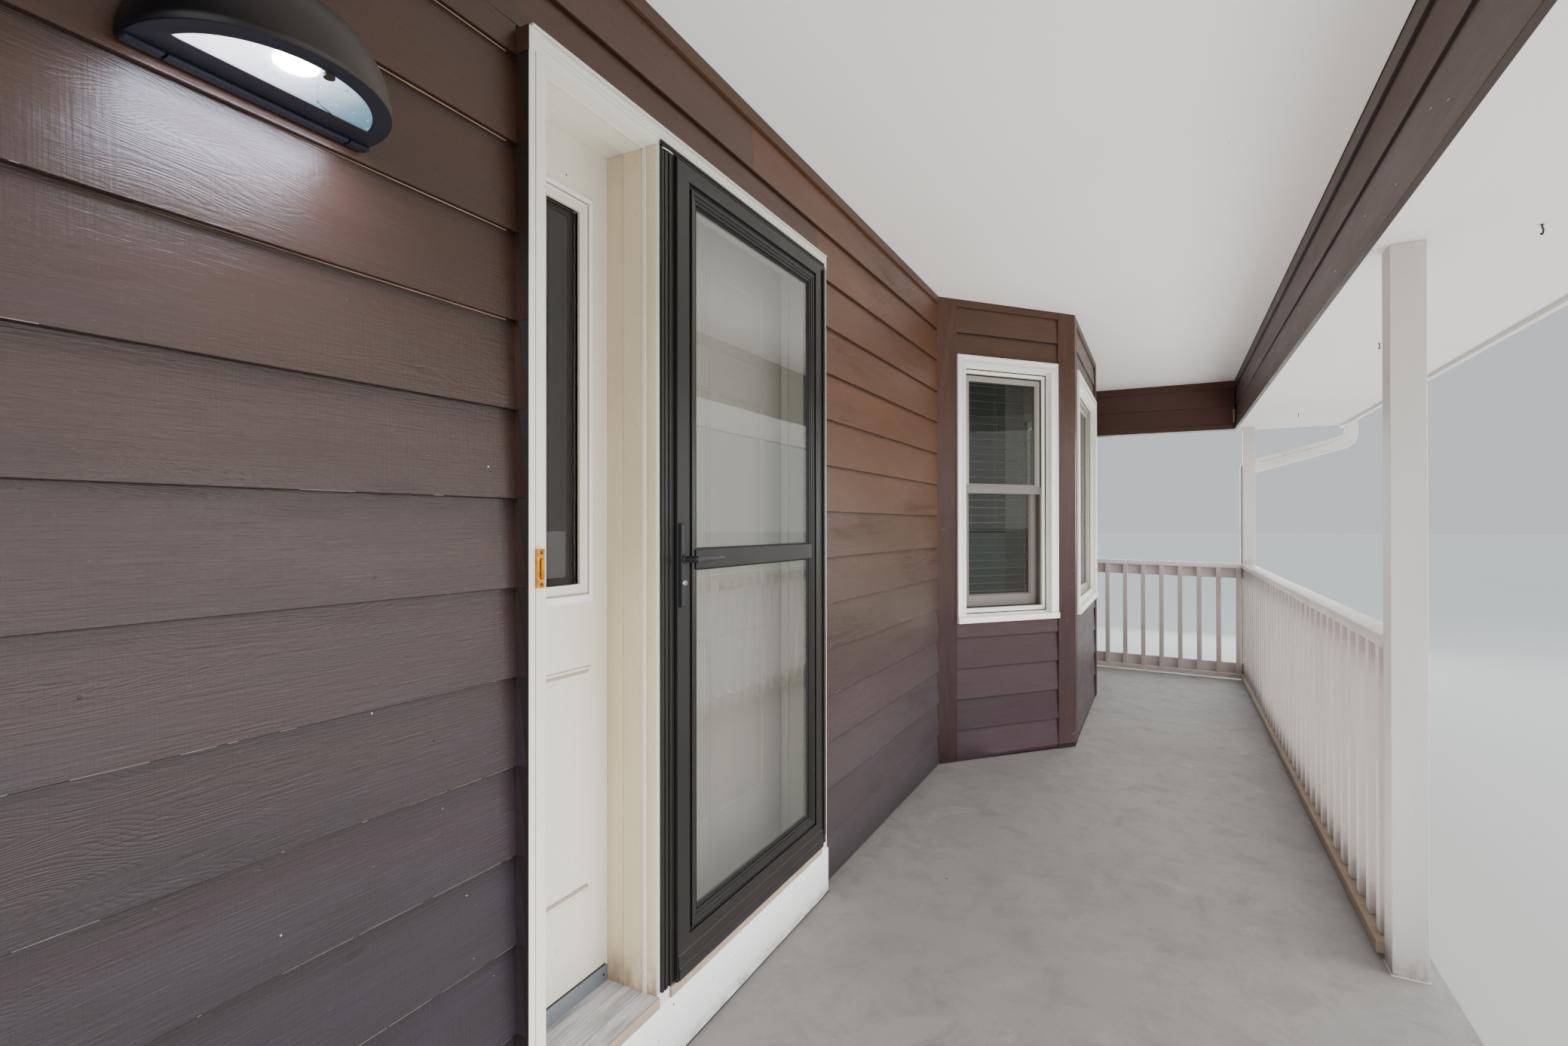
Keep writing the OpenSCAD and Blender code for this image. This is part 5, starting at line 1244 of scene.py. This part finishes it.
p = Piece("storm_lever_v", ["black_metal"])
n = 28
lx, lz = 1772, 1407
for s, y0, y1, ln in ((-1, -55, -101, 123), (1, -5, 32, 100)):
    rings = [[(lx + r_ * math.cos(2 * math.pi * k / n), yy, lz + r_ * math.sin(2 * math.pi * k / n)) for k in range(n)] for r_, yy in
             ((11, y0 + s * 0.2), (11, y0 + s * 3), (8.6, y0 + s * 6), (7.8, y0 + s * 18), (8.4, y1 - s * 10), (8.6, y1 - s * 3), (7.4, y1))]
    p.loft(rings, 0, "z")
    rings = []
    for i in range(13):
        t = i / 12
        u = lx - 7 + (ln + 7) * t
        hh = 8.0 - 2.6 * t
        th = 5.6 - 1.8 * t
        yc = y1 - s * 6.5 + s * 2.0 * math.sin(t * math.pi) * 0.6
        if i == 0:
            hh, th = 5.0, 3.4
        if i == 12:
            hh, th = 4.0, 2.6
        rings.append([(u, yc + th * math.copysign(abs(math.cos(a)) ** 0.55, math.cos(a)), lz + hh * math.copysign(abs(math.sin(a)) ** 0.55, math.sin(a))) for a in [2 * math.pi * k / 20 for k in range(20)]])
    p.loft(rings, 0, "u")
# spindle
rings = [[(lx + 4 * math.cos(2 * math.pi * k / 16), yy, lz + 4 * math.sin(2 * math.pi * k / 16)) for k in range(16)] for yy in (-56, -4)]
p.loft(rings, 0, "z")
p.done("storm_handle", ("storm_lever",))

# ------------------------------------------------------------------ wall light
LX, LY, LZ, LR, LH = 822, -25, 2080, 155, 142
p = Piece("wall_light_hood_v", ["hood_black", "rim_charcoal", "reflector_painted_glow", "dark_gap"])


def half(r, z, back=2.0, n=40):
    """half round outline in plan: straight along the wall, round to the street"""
    pts = [(LX - r, back, z)]
    for k in range(n + 1):
        a = math.pi + math.pi * k / n
        pts.append((LX + r * math.cos(a), LY + r * math.sin(a), z))
    pts.append((LX + r, back, z))
    return pts


def half2(r, z, yb, n=40):
    """half round outline cut off straight at depth yb"""
    a0 = math.asin((LY - yb) / r)
    pts = [(LX - r * math.cos(a0) + 2.5, yb, z)]
    for k in range(n + 1):
        a = math.pi + a0 + (math.pi - 2 * a0) * k / n
        pts.append((LX + r * math.cos(a), LY + r * math.sin(a), z))
    pts.append((LX + r * math.cos(a0) - 2.5, yb, z))
    return pts


rings = [half(LR - 1.5, LZ + 0.6), half(LR, LZ + 2.2)]
for k in range(1, 19):
    a = math.radians(88.5) * k / 18
    rings.append([(x, y, z) for x, y, z in half(max(2.5, LR * math.cos(a)), LZ + 2 + (LH - 2) * math.sin(a))])
p.loft(rings, 0, "z", tone=0.5, caps=False)
p.face([v_ for v_ in p.loft([rings[-1], [(LX + (x - LX) * 0.5, LY + (y - LY) * 0.5, z + 0.05) for x, y, z in rings[-1]]], 0, "z", caps=False)[-1]], 0)
# rim: flat charcoal flange with a raised inner lip, then the white inner shell
rim = [half(LR - 1.5, LZ + 0.6), half(LR - 6, LZ), half2(LR - 20, LZ, -55), half2(LR - 23, LZ - 0.9, -57.5), half2(LR - 25.5, LZ - 0.6, -59.5), half2(LR - 27, LZ + 1.4, -60.5)]
rim = [[(x, (2.0 if i < 1 else -0.5) if y > 1 else y, z) for x, y, z in r] for i, r in enumerate(rim)]
p.loft(rim, 1, "z", caps=False)
inner = []
for k in range(0, 15):
    a = math.radians(87) * k / 14
    inner.append([(x, min(y, -1.0), z) for x, y, z in half(max(3, (LR - 27) * math.cos(a)), LZ + 4 + (LH - 14) * math.sin(a))])
inner = [[(x, y, z) for x, y, z in rim[-1]]] + inner
rv = p.loft(inner, 2, "z", caps=False)
p.face(rv[-1], 2)
# back strip on the wall side, in three lengths with notches between them
for a, b_ in ((LX - 152, LX - 112), (LX - 108.5, LX + 120), (LX + 123.5, LX + 153)):
    p.along_u(a, b_, [(-2, 2079.5), (-19, 2079.5), (-20.5, 2078), (-20.5, 2075.6), (-18, 2074.4), (-3.2, 2074.4), (-2, 2075.6)], 1)
p.box((LX - 150, -1.8, 2076.5), (LX + 150, 1.8, 2082), 3, "u", ch=0.4)
# knob that holds the lens, on the front of the rim
p.disc((LX + 10, LY - 128, LZ - 6.4), 7.0, 6.2, "z", 0, 20)
# box let into the wall behind
rings = [[(LX + 47 * math.cos(2 * math.pi * k / 32), yy, LZ + 60 + 47 * math.sin(2 * math.pi * k / 32)) for k in range(32)] for yy in (1.8, 17.5)]
p.loft(rings, 0, "z")
# flat plate closing the back of the hood
rings = [[(LX + (LR - 3) * math.cos(math.pi * k / 36), yy, LZ + 1 + (LH - 3) * math.sin(math.pi * k / 36)) for k in range(37)] for yy in (0.6, 1.9)]
p.loft(rings, 3, "z")
p.done(replaces=("wall_light_hood",), smooth=50)

p = Piece("wall_light_lens_v", ["lens", "bulb", "reflector_painted_glow", "rim_charcoal"])
rings = []
for k_, z_ in ((1.0, LZ + 2.6), (1.0, LZ + 0.8), (0.95, LZ - 1.2), (0.66, LZ - 3.0), (0.3, LZ - 3.6)):
    rings.append([(LX + (x - LX) * k_, -104 + (y + 104) * k_, z) for x, y, z in half2(LR - 27.6, z_, -60.6)])
rv = p.loft(rings, 0, "z", caps=False)
p.face(rv[-1], 0)
top = [(x, y, LZ + 2.9) for x, y, z in rings[0]]
rv = p.loft([rings[0], top], 0, "z", caps=False)
p.face(rv[-1][::-1], 0)
# bulb, its collar and the square socket box at the right
bc = (818, -86, 2112)
rings = []
for i in range(11):
    a = math.pi * (i + 0.35) / 10.7
    rings.append([(bc[0] + 27 * math.cos(a), bc[1] + 21 * math.sin(a) * math.cos(2 * math.pi * k / 24), bc[2] + 21 * math.sin(a) * math.sin(2 * math.pi * k / 24)) for k in range(24)])
p.loft(rings, 1, "u")
rings = [[(xx, bc[1] + r_ * math.cos(2 * math.pi * k / 20), bc[2] + r_ * math.sin(2 * math.pi * k / 20)) for k in range(20)] for xx, r_ in ((842, 13), (846, 15), (866, 15), (868, 12))]
p.loft(rings, 2, "u")
p.box((866, -112, 2092), (912, -60, 2130), 2, "u", ch=2)
# outline of the clear socket cover on the lens
for a_, b_ in (((835, -122, 2077.9), (861, -78, 2077.2)), ((861, -78, 2077.2), (866, -140, 2079.0)), ((861, -78, 2077.2), (904, -57, 2077.6)), ((836, -120, 2077.8), (866, -140, 2079.0))):
    p.tube([a_, tuple((Vector(a_) + Vector(b_)) / 2), b_], 0.7, 3, 6)
p.done(replaces=("wall_light_lens",), smooth=40)

# ------------------------------------------------------------------ header, ceiling, soffit
def beam_pick(fc):
    return 0


from_cad("front_beam", "front_beam_v", ["beam_brown"], 1.2, ax="u")
from_cad("end_beams", "end_beams_v", ["beam_dark"], 1.2, ax="d")
for nd, m in (("porch_ceiling", "ceiling"), ("outer_soffit", "soffit")):
    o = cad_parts[nd]
    o.data.materials.clear()
    o.data.materials.append(MATS[m])
p = Piece("header_fittings", ["nail_bright", "tan_wood", "hook_dark", "dark_gap"])
# thin dark strips under the header courses, painted shade in their joints; staples on the lower course
for z in (ZS + 206, ZS + 366):
    p.along_u(141, 7873, [(-1679.6, z - 2.6), (-1679.6, z - 0.15), (-1672.6, z - 0.15), (-1673.0, z - 0.9), (-1677.6, z - 1.4)], 3, steps=10, wob=0.2)
for x, z in ((2350, 2420), (2480, 2466), (2760, 2404), (3120, 2452), (3560, 2415), (4100, 2440), (4800, 2425)):
    yb = -1667 - 5 - (z - (ZS + 45)) * 8 / 161
    p.tube([(x - 5, yb + 0.4, z), (x - 5, yb + 1.8, z), (x + 5, yb + 1.8, z + 0.6), (x + 5, yb + 0.4, z + 0.6)], 0.7, 0, 6)
# bare shim in the far corner
p.box((7864.5, -1666.8, 2399), (7874, -1653, 2515), 1, "z", ch=0.6)
# cup hooks under the soffit
for x, y in ((7020, -2019.4), (3090, -2069.4), (4590, -2009.4)):
    pts = [(x, y, 2341), (x, y, 2333)]
    for k in range(13):
        a = math.radians(90 + 250 * k / 12)
        pts.append((x + 8.5 * math.cos(a), y, 2322 + 9.5 * math.sin(a)))
    p.tube(pts, 2.3, 2, 8)
    p.disc((x, y, 2339.6), 5.2, 1.3, "z", 2, 16)
p.done()
# dark strip where the ceiling meets the boards: painted shade in the corner
p = Piece("ceiling_corner_shade", ["ceiling", "trim_brown", "dark_gap"])
p.along_u(141, 7874, [(-1666.6, 2768.6), (-1666.6, 2764.6), (-1664.6, 2768.6)], 2, steps=4)
p.done()

# ------------------------------------------------------------------ fascia, gutter, downspout
from_cad("fascia_boards", "fascia_boards_v", ["fascia_paint"], 1.5, ax="u")
from_cad("gutter", "gutter_v", ["white_metal"], 0.8, ax="u")
from_cad("downspout", "downspout_v", ["white_metal"], 7.0, ax="z", seg=3)
p = Piece("gutter_fittings", ["white_metal", "dark_gap", "nickel"])
fo = -2469
for i in range(11):
    x = 260 + i * 750
    if x < LEN - 20:
        p.along_u(x - 9, x + 9, [(fo - 4, ZS + 120), (fo - 4, ZS + 126), (fo - 112, ZS + 124), (fo - 116, ZS + 122), (fo - 116, ZS + 117), (fo - 110, ZS + 119)], 0)
for x in (-25.6, LEN + 22.4):
    pass
# seams and straps of the downspout
dx = 7912
for z in (620, 1750):
    p.box((dx - 2.2, -1815.4, z), (dx + 78.2, -1710.6, z + 26), 0, "u", ch=0.8)
    for x in (dx - 1.6, dx + 77.6):
        p.disc((x if x > dx + 10 else dx - 3.0, -1722, z + 13), 3.2, 1.2, "u", 2, 12)
# seam line along the sloping run
p.tube([(dx - 0.2, -2452, 2341 - 116), (dx - 0.2, -2300, 2341 - 176), (dx - 0.2, -1860, 2341 - 296)], 0.9, 1, 6)
p.tube([(dx - 0.2, -1788, 2341 - 330), (dx - 0.2, -1788, 345)], 0.8, 1, 6)
p.done()

# ------------------------------------------------------------------ posts and railing
from_cad("porch_posts", "porch_posts_v", ["post_paint"], 2.2, ax="z", seg=3)
p = Piece("post_nails", ["hook_dark", "caulk"])
for x0 in (108, 3080, 7818):
    for z in (300, 1120, 1980):
        for dx_ in (22, 66):
            p.disc((x0 + dx_, -1725.2 + 0.0, z + dx_ * 0.1), 2.1, 0.35, "d", 0, 10)
    y = -1725
    zz = fall(-1770)
    p.tube([(x0 - 1, -1815, fall(-1815) + 1), (x0 + 90, -1815, fall(-1815) + 1), (x0 + 90, -1724, fall(-1724) + 1), (x0 - 1, -1724, fall(-1724) + 1), (x0 - 1, -1814, fall(-1814) + 1)], 2.4, 1, 8)
p.done()

cap_z = SLAB + 986.5
far_cap, far_bot = SLAB + 1023, SLAB + 61
fz = lambda z, y: z + 0.0186 * y


def member(p, x1, x2, y1, y2, z1, z2, m=0, ch=2.0, steps=8, wob=0.0):
    """rail member running along Y that follows the slab's fall"""
    rings = []
    for i in range(steps + 1):
        y = y1 + (y2 - y1) * i / steps
        a, b_ = fz(z1, y), fz(z2, y)
        w = wob * noise.noise(Vector((y * 0.003, z1, 1)))
        rings.append([(x, y, z + w) for x, z in ((x1 + ch, a), (x2 - ch, a), (x2, a + ch), (x2, b_ - ch), (x2 - ch, b_), (x1 + ch, b_), (x1, b_ - ch), (x1, a + ch))])
    p.loft(rings, m, "d")


p = Piece("rail_caps_v", ["cap_paint"])
rings = []
for i in range(25):
    u = 3169 + (7818 - 3169) * i / 24
    w = 1.2 * noise.noise(Vector((u * 0.0011, 5, 0)))
    y1, y2, z1, z2, c = -1805, -1716, cap_z - 38, cap_z, 3.2
    rings.append([(u, y, z + w) for y, z in ((y1 + c, z1), (y2 - c, z1), (y2, z1 + c), (y2, z2 - 6), (y2 - 2, z2 - 2), (y2 - 6, z2), (y1 + 6, z2), (y1 + 2, z2 - 2), (y1, z2 - 6), (y1, z1 + c))])
p.loft(rings, 0, "u")
member(p, 7810, 7899, -1725, -1, far_cap - 38, far_cap, ch=3.5, wob=1.0)
p.done(replaces=("rail_caps",))

p = Piece("back_rails_v", ["rail_paint", "dirty_base"])
p.box((3169, -1798, cap_z - 38 - 89), (7818, -1760, cap_z - 38.2), 0, "u", ch=1.6)
p.box((3169, -1798, SLAB + 26.2), (7818, -1760, SLAB + 115), 0, "u", ch=1.6)
p.box((3169, -1798, SLAB - 12), (7818, -1704, SLAB + 26), 1, "u", ch=2.4)
member(p, 7855, 7893, -1725, -1, far_cap - 38 - 89, far_cap - 38.2, ch=1.6)
member(p, 7855, 7893, -1725, -1, far_bot + 0.2, far_bot + 89, ch=1.6)
member(p, 7798, 7893, -1725, -1, far_bot - 38, far_bot, m=0, ch=2.4)
p.done(replaces=("back_rails",))

p = Piece("balusters_v", ["rail_paint", "hook_dark", "dirty_base"])
step = (7818 - 3080 - 89) / 34
for k in range(34):
    x = 3169 + (k + 0.5) * step - 19
    lean = rnd.uniform(-1.6, 1.6)
    wd = rnd.uniform(37.0, 38.4)
    yo = rnd.uniform(-0.8, 0.5)
    z1, z2 = SLAB + 26.1, cap_z - 38.3
    off, tone = rnd.uniform(0, 30), rnd.random()
    rings = []
    c = 2.2
    for t, g_ in ((0.0, 3.4), (0.006, 0.9), (0.02, 0.0), (0.5, 0.0), (1.0, 0.0)):
        z = z1 + (z2 - z1) * t
        xo = lean * t
        a, b_, e_, f_ = x + xo + g_, x + xo + wd - g_, -1760 + yo + g_, -1722 + yo - g_
        rings.append([(a + c, e_, z), (b_ - c, e_, z), (b_, e_ + c, z), (b_, f_ - c, z), (b_ - c, f_, z), (a + c, f_, z), (a, f_ - c, z), (a, e_ + c, z)])
    p.loft(rings, 0, "z", off, tone)
    for zz in (SLAB + 70, cap_z - 80):
        p.disc((x + 19 + lean * 0.5, -1722 + yo + 0.5, zz), 2.2, 0.4, "d", 1, 8)
for k in range(12):
    y = -33.5 - 150.4 * k
    lean = rnd.uniform(-1.4, 1.4)
    off, tone = rnd.uniform(0, 30), rnd.random()
    rings = []
    for t, g_ in ((0.0, 2.0), (0.01, 0.0), (0.5, 0.0), (1.0, 0.0)):
        c = 2.2
        z = far_bot + 0.1 + (far_cap - 38.4 - far_bot) * t + 0.0186 * y
        a, b_, e_, f_ = 7817 + g_, 7855 - g_, y - 19 + lean * t + g_, y + 19 + lean * t - g_
        rings.append([(a + c, e_, z), (b_ - c, e_, z), (b_, e_ + c, z), (b_, f_ - c, z), (b_ - c, f_, z), (a + c, f_, z), (a, f_ - c, z), (a, e_ + c, z)])
    p.loft(rings, 0, "z", off, tone)
    for zz in (far_bot + 45, far_cap - 80):
        rr = 2.2
        p.loft([[(7816.7 - hh, y + rr * math.cos(2 * math.pi * q / 8), zz + 0.0186 * y + rr * math.sin(2 * math.pi * q / 8)) for q in range(8)] for hh in (0.0, 0.4)], 1, "z")
p.done(replaces=("balusters",))

# ------------------------------------------------------------------ roof
TAN = 0.5
CO, SI = math.cos(math.atan(TAN)), math.sin(math.atan(TAN))
Y0, Z0 = -2489.0, 2490.0


def on_roof(x, s, h):
    """point at slope distance s from the eave, h mm square above the underside"""
    return (x, Y0 + s * CO - h * SI, Z0 + s * SI + h * CO)


p = Piece("roof_deck_v", ["roof_wood", "white_metal", "fascia_paint"])
L = (178 - Y0) / CO
und = 0.0
th = 112 * CO
rings = []
for x in (-39.5, 0, LEN, LEN + 39.5):
    rings.append([(x, Y0 + 4, Z0 + 2), (x, 178, Z0 + (178 - Y0) * TAN), (x, 178, Z0 + (178 - Y0) * TAN + 130), (x, Y0 + 4, Z0 + 132)])
p.loft(rings, 0, "u", seg_m=[2, 0, 0, 2], cap_m=2)
# metal drip edge along the eave and the rakes
p.along_u(-40, LEN + 40, [(Y0, Z0 + 106), (Y0 + 1.2, Z0 + 106), (Y0 + 2, Z0 + 135), (Y0 + 60, Z0 + 164), (Y0 + 60, Z0 + 161.2), (Y0, Z0 + 133)], 1)
# flashing along the head, turned up at the plane where the roof is cut off
zf = Z0 + (178 - Y0) * TAN
p.along_u(-39.5, LEN + 39.5, [(118, zf + 106), (118, zf + 108.4), (170, zf + 134.6), (173.6, zf + 138), (174.2, zf + 144.6), (175.4, zf + 145.0), (176.4, zf + 144.2), (176.4, zf + 132)], 1)
p.done(replaces=("roof_deck",), bevel=1.0, seg=1)

p = Piece("roof_shingles", ["shingle"])
base_h = 133 * CO
s, i = 4.0, 0
while s < L - 20:
    x = -40.0
    first = True
    while x < LEN + 40 - 1:
        w = rnd.choice((150, 190, 230, 280, 320))
        if first and i % 2:
            w *= 0.5
        first = False
        x2 = min(x + w, LEN + 40)
        if LEN + 40 - x2 < 60:
            x2 = LEN + 40
        thick_ = rnd.choice((3.5, 7.0))
        s1, s2 = s + rnd.uniform(-1, 1), min(s + 168, L - 22)
        a, b_ = base_h + 3.2, base_h + 1.0
        gap = 1.0 if thick_ < 5 else 0.0
        pts1 = [on_roof(x + gap, s1, a), on_roof(x2 - gap, s1, a), on_roof(x2 - gap, s1 + 0.6, a + thick_), on_roof(x + gap, s1 + 0.6, a + thick_)]
        pts2 = [on_roof(x + gap, s2, b_), on_roof(x2 - gap, s2, b_), on_roof(x2 - gap, s2, b_ + 2.2), on_roof(x + gap, s2, b_ + 2.2)]
        p.loft([pts1, pts2], 0, "u", tone=rnd.random())
        x = x2
    s += 143
    i += 1
p.done(replaces=("roof_deck",), smooth=0)

# gable ends clad with laps, under the rake boards
from_cad("gable_walls", "gable_walls_v", ["trim_brown"], 1.5, ax="d")
rake = lambda z: -2384 + (z - 2346) / 0.5183 + 3
for tag, f in (("near", lambda u, d, z: (d, u, z)), ("far", lambda u, d, z: (LEN - d, u, z))):
    p = Piece("gable_siding_" + tag, ["siding_gable"], f)
    for k in range(8):
        z0, z1 = 2348 + k * LAP, 2348 + (k + 1) * LAP
        if rake(z0) > 120:
            break
        top = min(z1, 3672)
        lap_board(p, z0, z1, 0, LAP, lambda d, z: max(-2380.0, rake(z + 4)), lambda d, z: 177.0, cut1=None if top == z1 else top, zref=z0, thick=14, thin=5, step=260)
    p.done()

# ------------------------------------------------------------------ slab, foundation, plain walls
from_cad("porch_slab", "porch_slab_v", ["slab"], 7.0, ax="u", seg=3)
for nd, m in (("foundation", "foundation"), ("bay_floor", "floor_board"), ("window_glass", "glass_window"), ("storm_glass", "glass_door")):
    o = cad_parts[nd]
    o.data.materials.clear()
    o.data.materials.append(MATS[m])
# the pane of the sidelight
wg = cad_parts["window_glass"]
wg.data.materials.append(MATS["glass_side"])
for pl in wg.data.polygons:
    if pl.center.x < (1720 - CX) / 1000:
        pl.material_index = 1
g = mat("plaster_obj")
v = g.obj()
a = g.noise(v, 3, 4, 0.6)
b2 = g.noise(v, 240, 3, 0.6)
g.bsdf(g.mix(g.ramp(a, [(0.3, 0.0), (0.7, 1.0)]), lin(150, 142, 130), lin(136, 128, 118)), 0.85, g.bump(b2, 0.25, 0.0008))
for nd in ("wall_left", "wall_over_door", "wall_right", "wall_upper", "bay_wall_near", "bay_wall_front", "bay_wall_far"):
    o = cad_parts[nd]
    o.data.materials.clear()
    o.data.materials.append(MATS["plaster_obj"])

# ------------------------------------------------------------------ floor and light
me = bpy.data.meshes.new("floor")
me.from_pydata([(-150, -150, -0.002), (150, -150, -0.002), (150, 150, -0.002), (-150, 150, -0.002)], [], [(0, 1, 2, 3)])
floor = bpy.data.objects.new("floor", me)
scene.collection.objects.link(floor)
g = mat("floor_mat")
v = g.obj()
# seen through glass, the floor turns dark: painted shade for the dim room side
seen = g.n("ShaderNodeLightPath").outputs["Is Transmission Ray"]
g.bsdf(g.mix(seen, g.mix(g.noise(v, 0.6, 2), lin(186, 186, 184), lin(182, 182, 180)), lin(60, 60, 56)), 0.9)
me.materials.append(MATS["floor_mat"])

world = bpy.data.worlds.new("studio")
scene.world = world
world.use_nodes = True
wt = world.node_tree
wt.nodes.clear()
wo = wt.nodes.new("ShaderNodeOutputWorld")
tc = wt.nodes.new("ShaderNodeTexCoord")
sp = wt.nodes.new("ShaderNodeSeparateXYZ")
wt.links.new(tc.outputs[0], sp.inputs[0])
rmp = wt.nodes.new("ShaderNodeValToRGB")
mr = wt.nodes.new("ShaderNodeMapRange")
mr.inputs[1].default_value = -0.1
mr.inputs[2].default_value = 1.0
wt.links.new(sp.outputs[2], mr.inputs[0])
wt.links.new(mr.outputs[0], rmp.inputs[0])
el = rmp.color_ramp.elements
el[0].position, el[0].color = 0.0, (0.70, 0.72, 0.70, 1)
el[1].position, el[1].color = 1.0, (0.82, 0.92, 1.0, 1)
e = el.new(0.35)
e.color = (0.80, 0.84, 0.86, 1)
bg = wt.nodes.new("ShaderNodeBackground")
wt.links.new(rmp.outputs[0], bg.inputs[0])
bg.inputs[1].default_value = 1.7
# the plain pale backdrop that shows round the object
bg3 = wt.nodes.new("ShaderNodeBackground")
bg3.inputs[0].default_value = (0.676, 0.70, 0.729, 1)
bg3.inputs[1].default_value = 1.0
# what the glass shows of the room side stays dim, as the closed house behind it does
lp = wt.nodes.new("ShaderNodeLightPath")
bg2 = wt.nodes.new("ShaderNodeBackground")
bg2.inputs[0].default_value = (0.045, 0.05, 0.045, 1)
bg2.inputs[1].default_value = 1.0
mx = wt.nodes.new("ShaderNodeMixShader")
wt.links.new(lp.outputs["Is Transmission Ray"], mx.inputs[0])
wt.links.new(bg.outputs[0], mx.inputs[1])
wt.links.new(bg2.outputs[0], mx.inputs[2])
mx2 = wt.nodes.new("ShaderNodeMixShader")
wt.links.new(lp.outputs["Is Camera Ray"], mx2.inputs[0])
wt.links.new(mx.outputs[0], mx2.inputs[1])
wt.links.new(bg3.outputs[0], mx2.inputs[2])
wt.links.new(mx2.outputs[0], wo.inputs[0])


def area(name, loc, target, sx, sy, power, color=(1, 1, 1)):
    d = bpy.data.lights.new(name, "AREA")
    d.shape = "RECTANGLE"
    d.size, d.size_y = sx, sy
    d.energy = power
    d.color = color
    o = bpy.data.objects.new(name, d)
    scene.collection.objects.link(o)
    o.location = loc
    o.rotation_euler = (Vector(target) - Vector(loc)).to_track_quat("-Z", "Y").to_euler()
    o.visible_camera = False
    o.visible_transmission = False
    return o


area("street_soft", (0.5, -7.5, 3.6), (0.2, 1.0, 1.2), 11, 4.5, 760, (1.0, 0.98, 0.95))
area("near_end_soft", (-7.6, -0.4, 2.2), (0, 0.6, 1.3), 3.2, 3.0, 60, (1.0, 0.98, 0.96))
area("far_end_soft", (7.8, -0.6, 2.0), (0, 0.4, 1.2), 3.0, 2.6, 110, (0.95, 1.0, 0.97))
# light thrown back up from the slab and from the ground before it
for nm, lc, sx, sy, pw in (("slab_bounce", (-0.5, 0.30, 0.178), 5.8, 1.3, 76), ("ground_bounce", (0.2, -2.2, 0.05), 8.5, 2.2, 150)):
    up_l = area(nm, lc, (lc[0], lc[1] + 0.001, 3.0), sx, sy, pw, (1.0, 0.985, 0.97))
    up_l.visible_glossy = False
# light between the storm door and the entry door
gap_l = area("door_gap_soft", tuple(row((2195, 2, 1385))), tuple(row((2195, 400, 1385))), 0.74, 1.9, 1.9, (1.0, 0.99, 0.97))
gap_l.visible_glossy = False
# the wall light is on
area("lamp_glow", tuple(row((822, -88, 2070))), tuple(row((822, -40, 1500))), 0.25, 0.13, 3.5, (0.70, 0.79, 1.0))
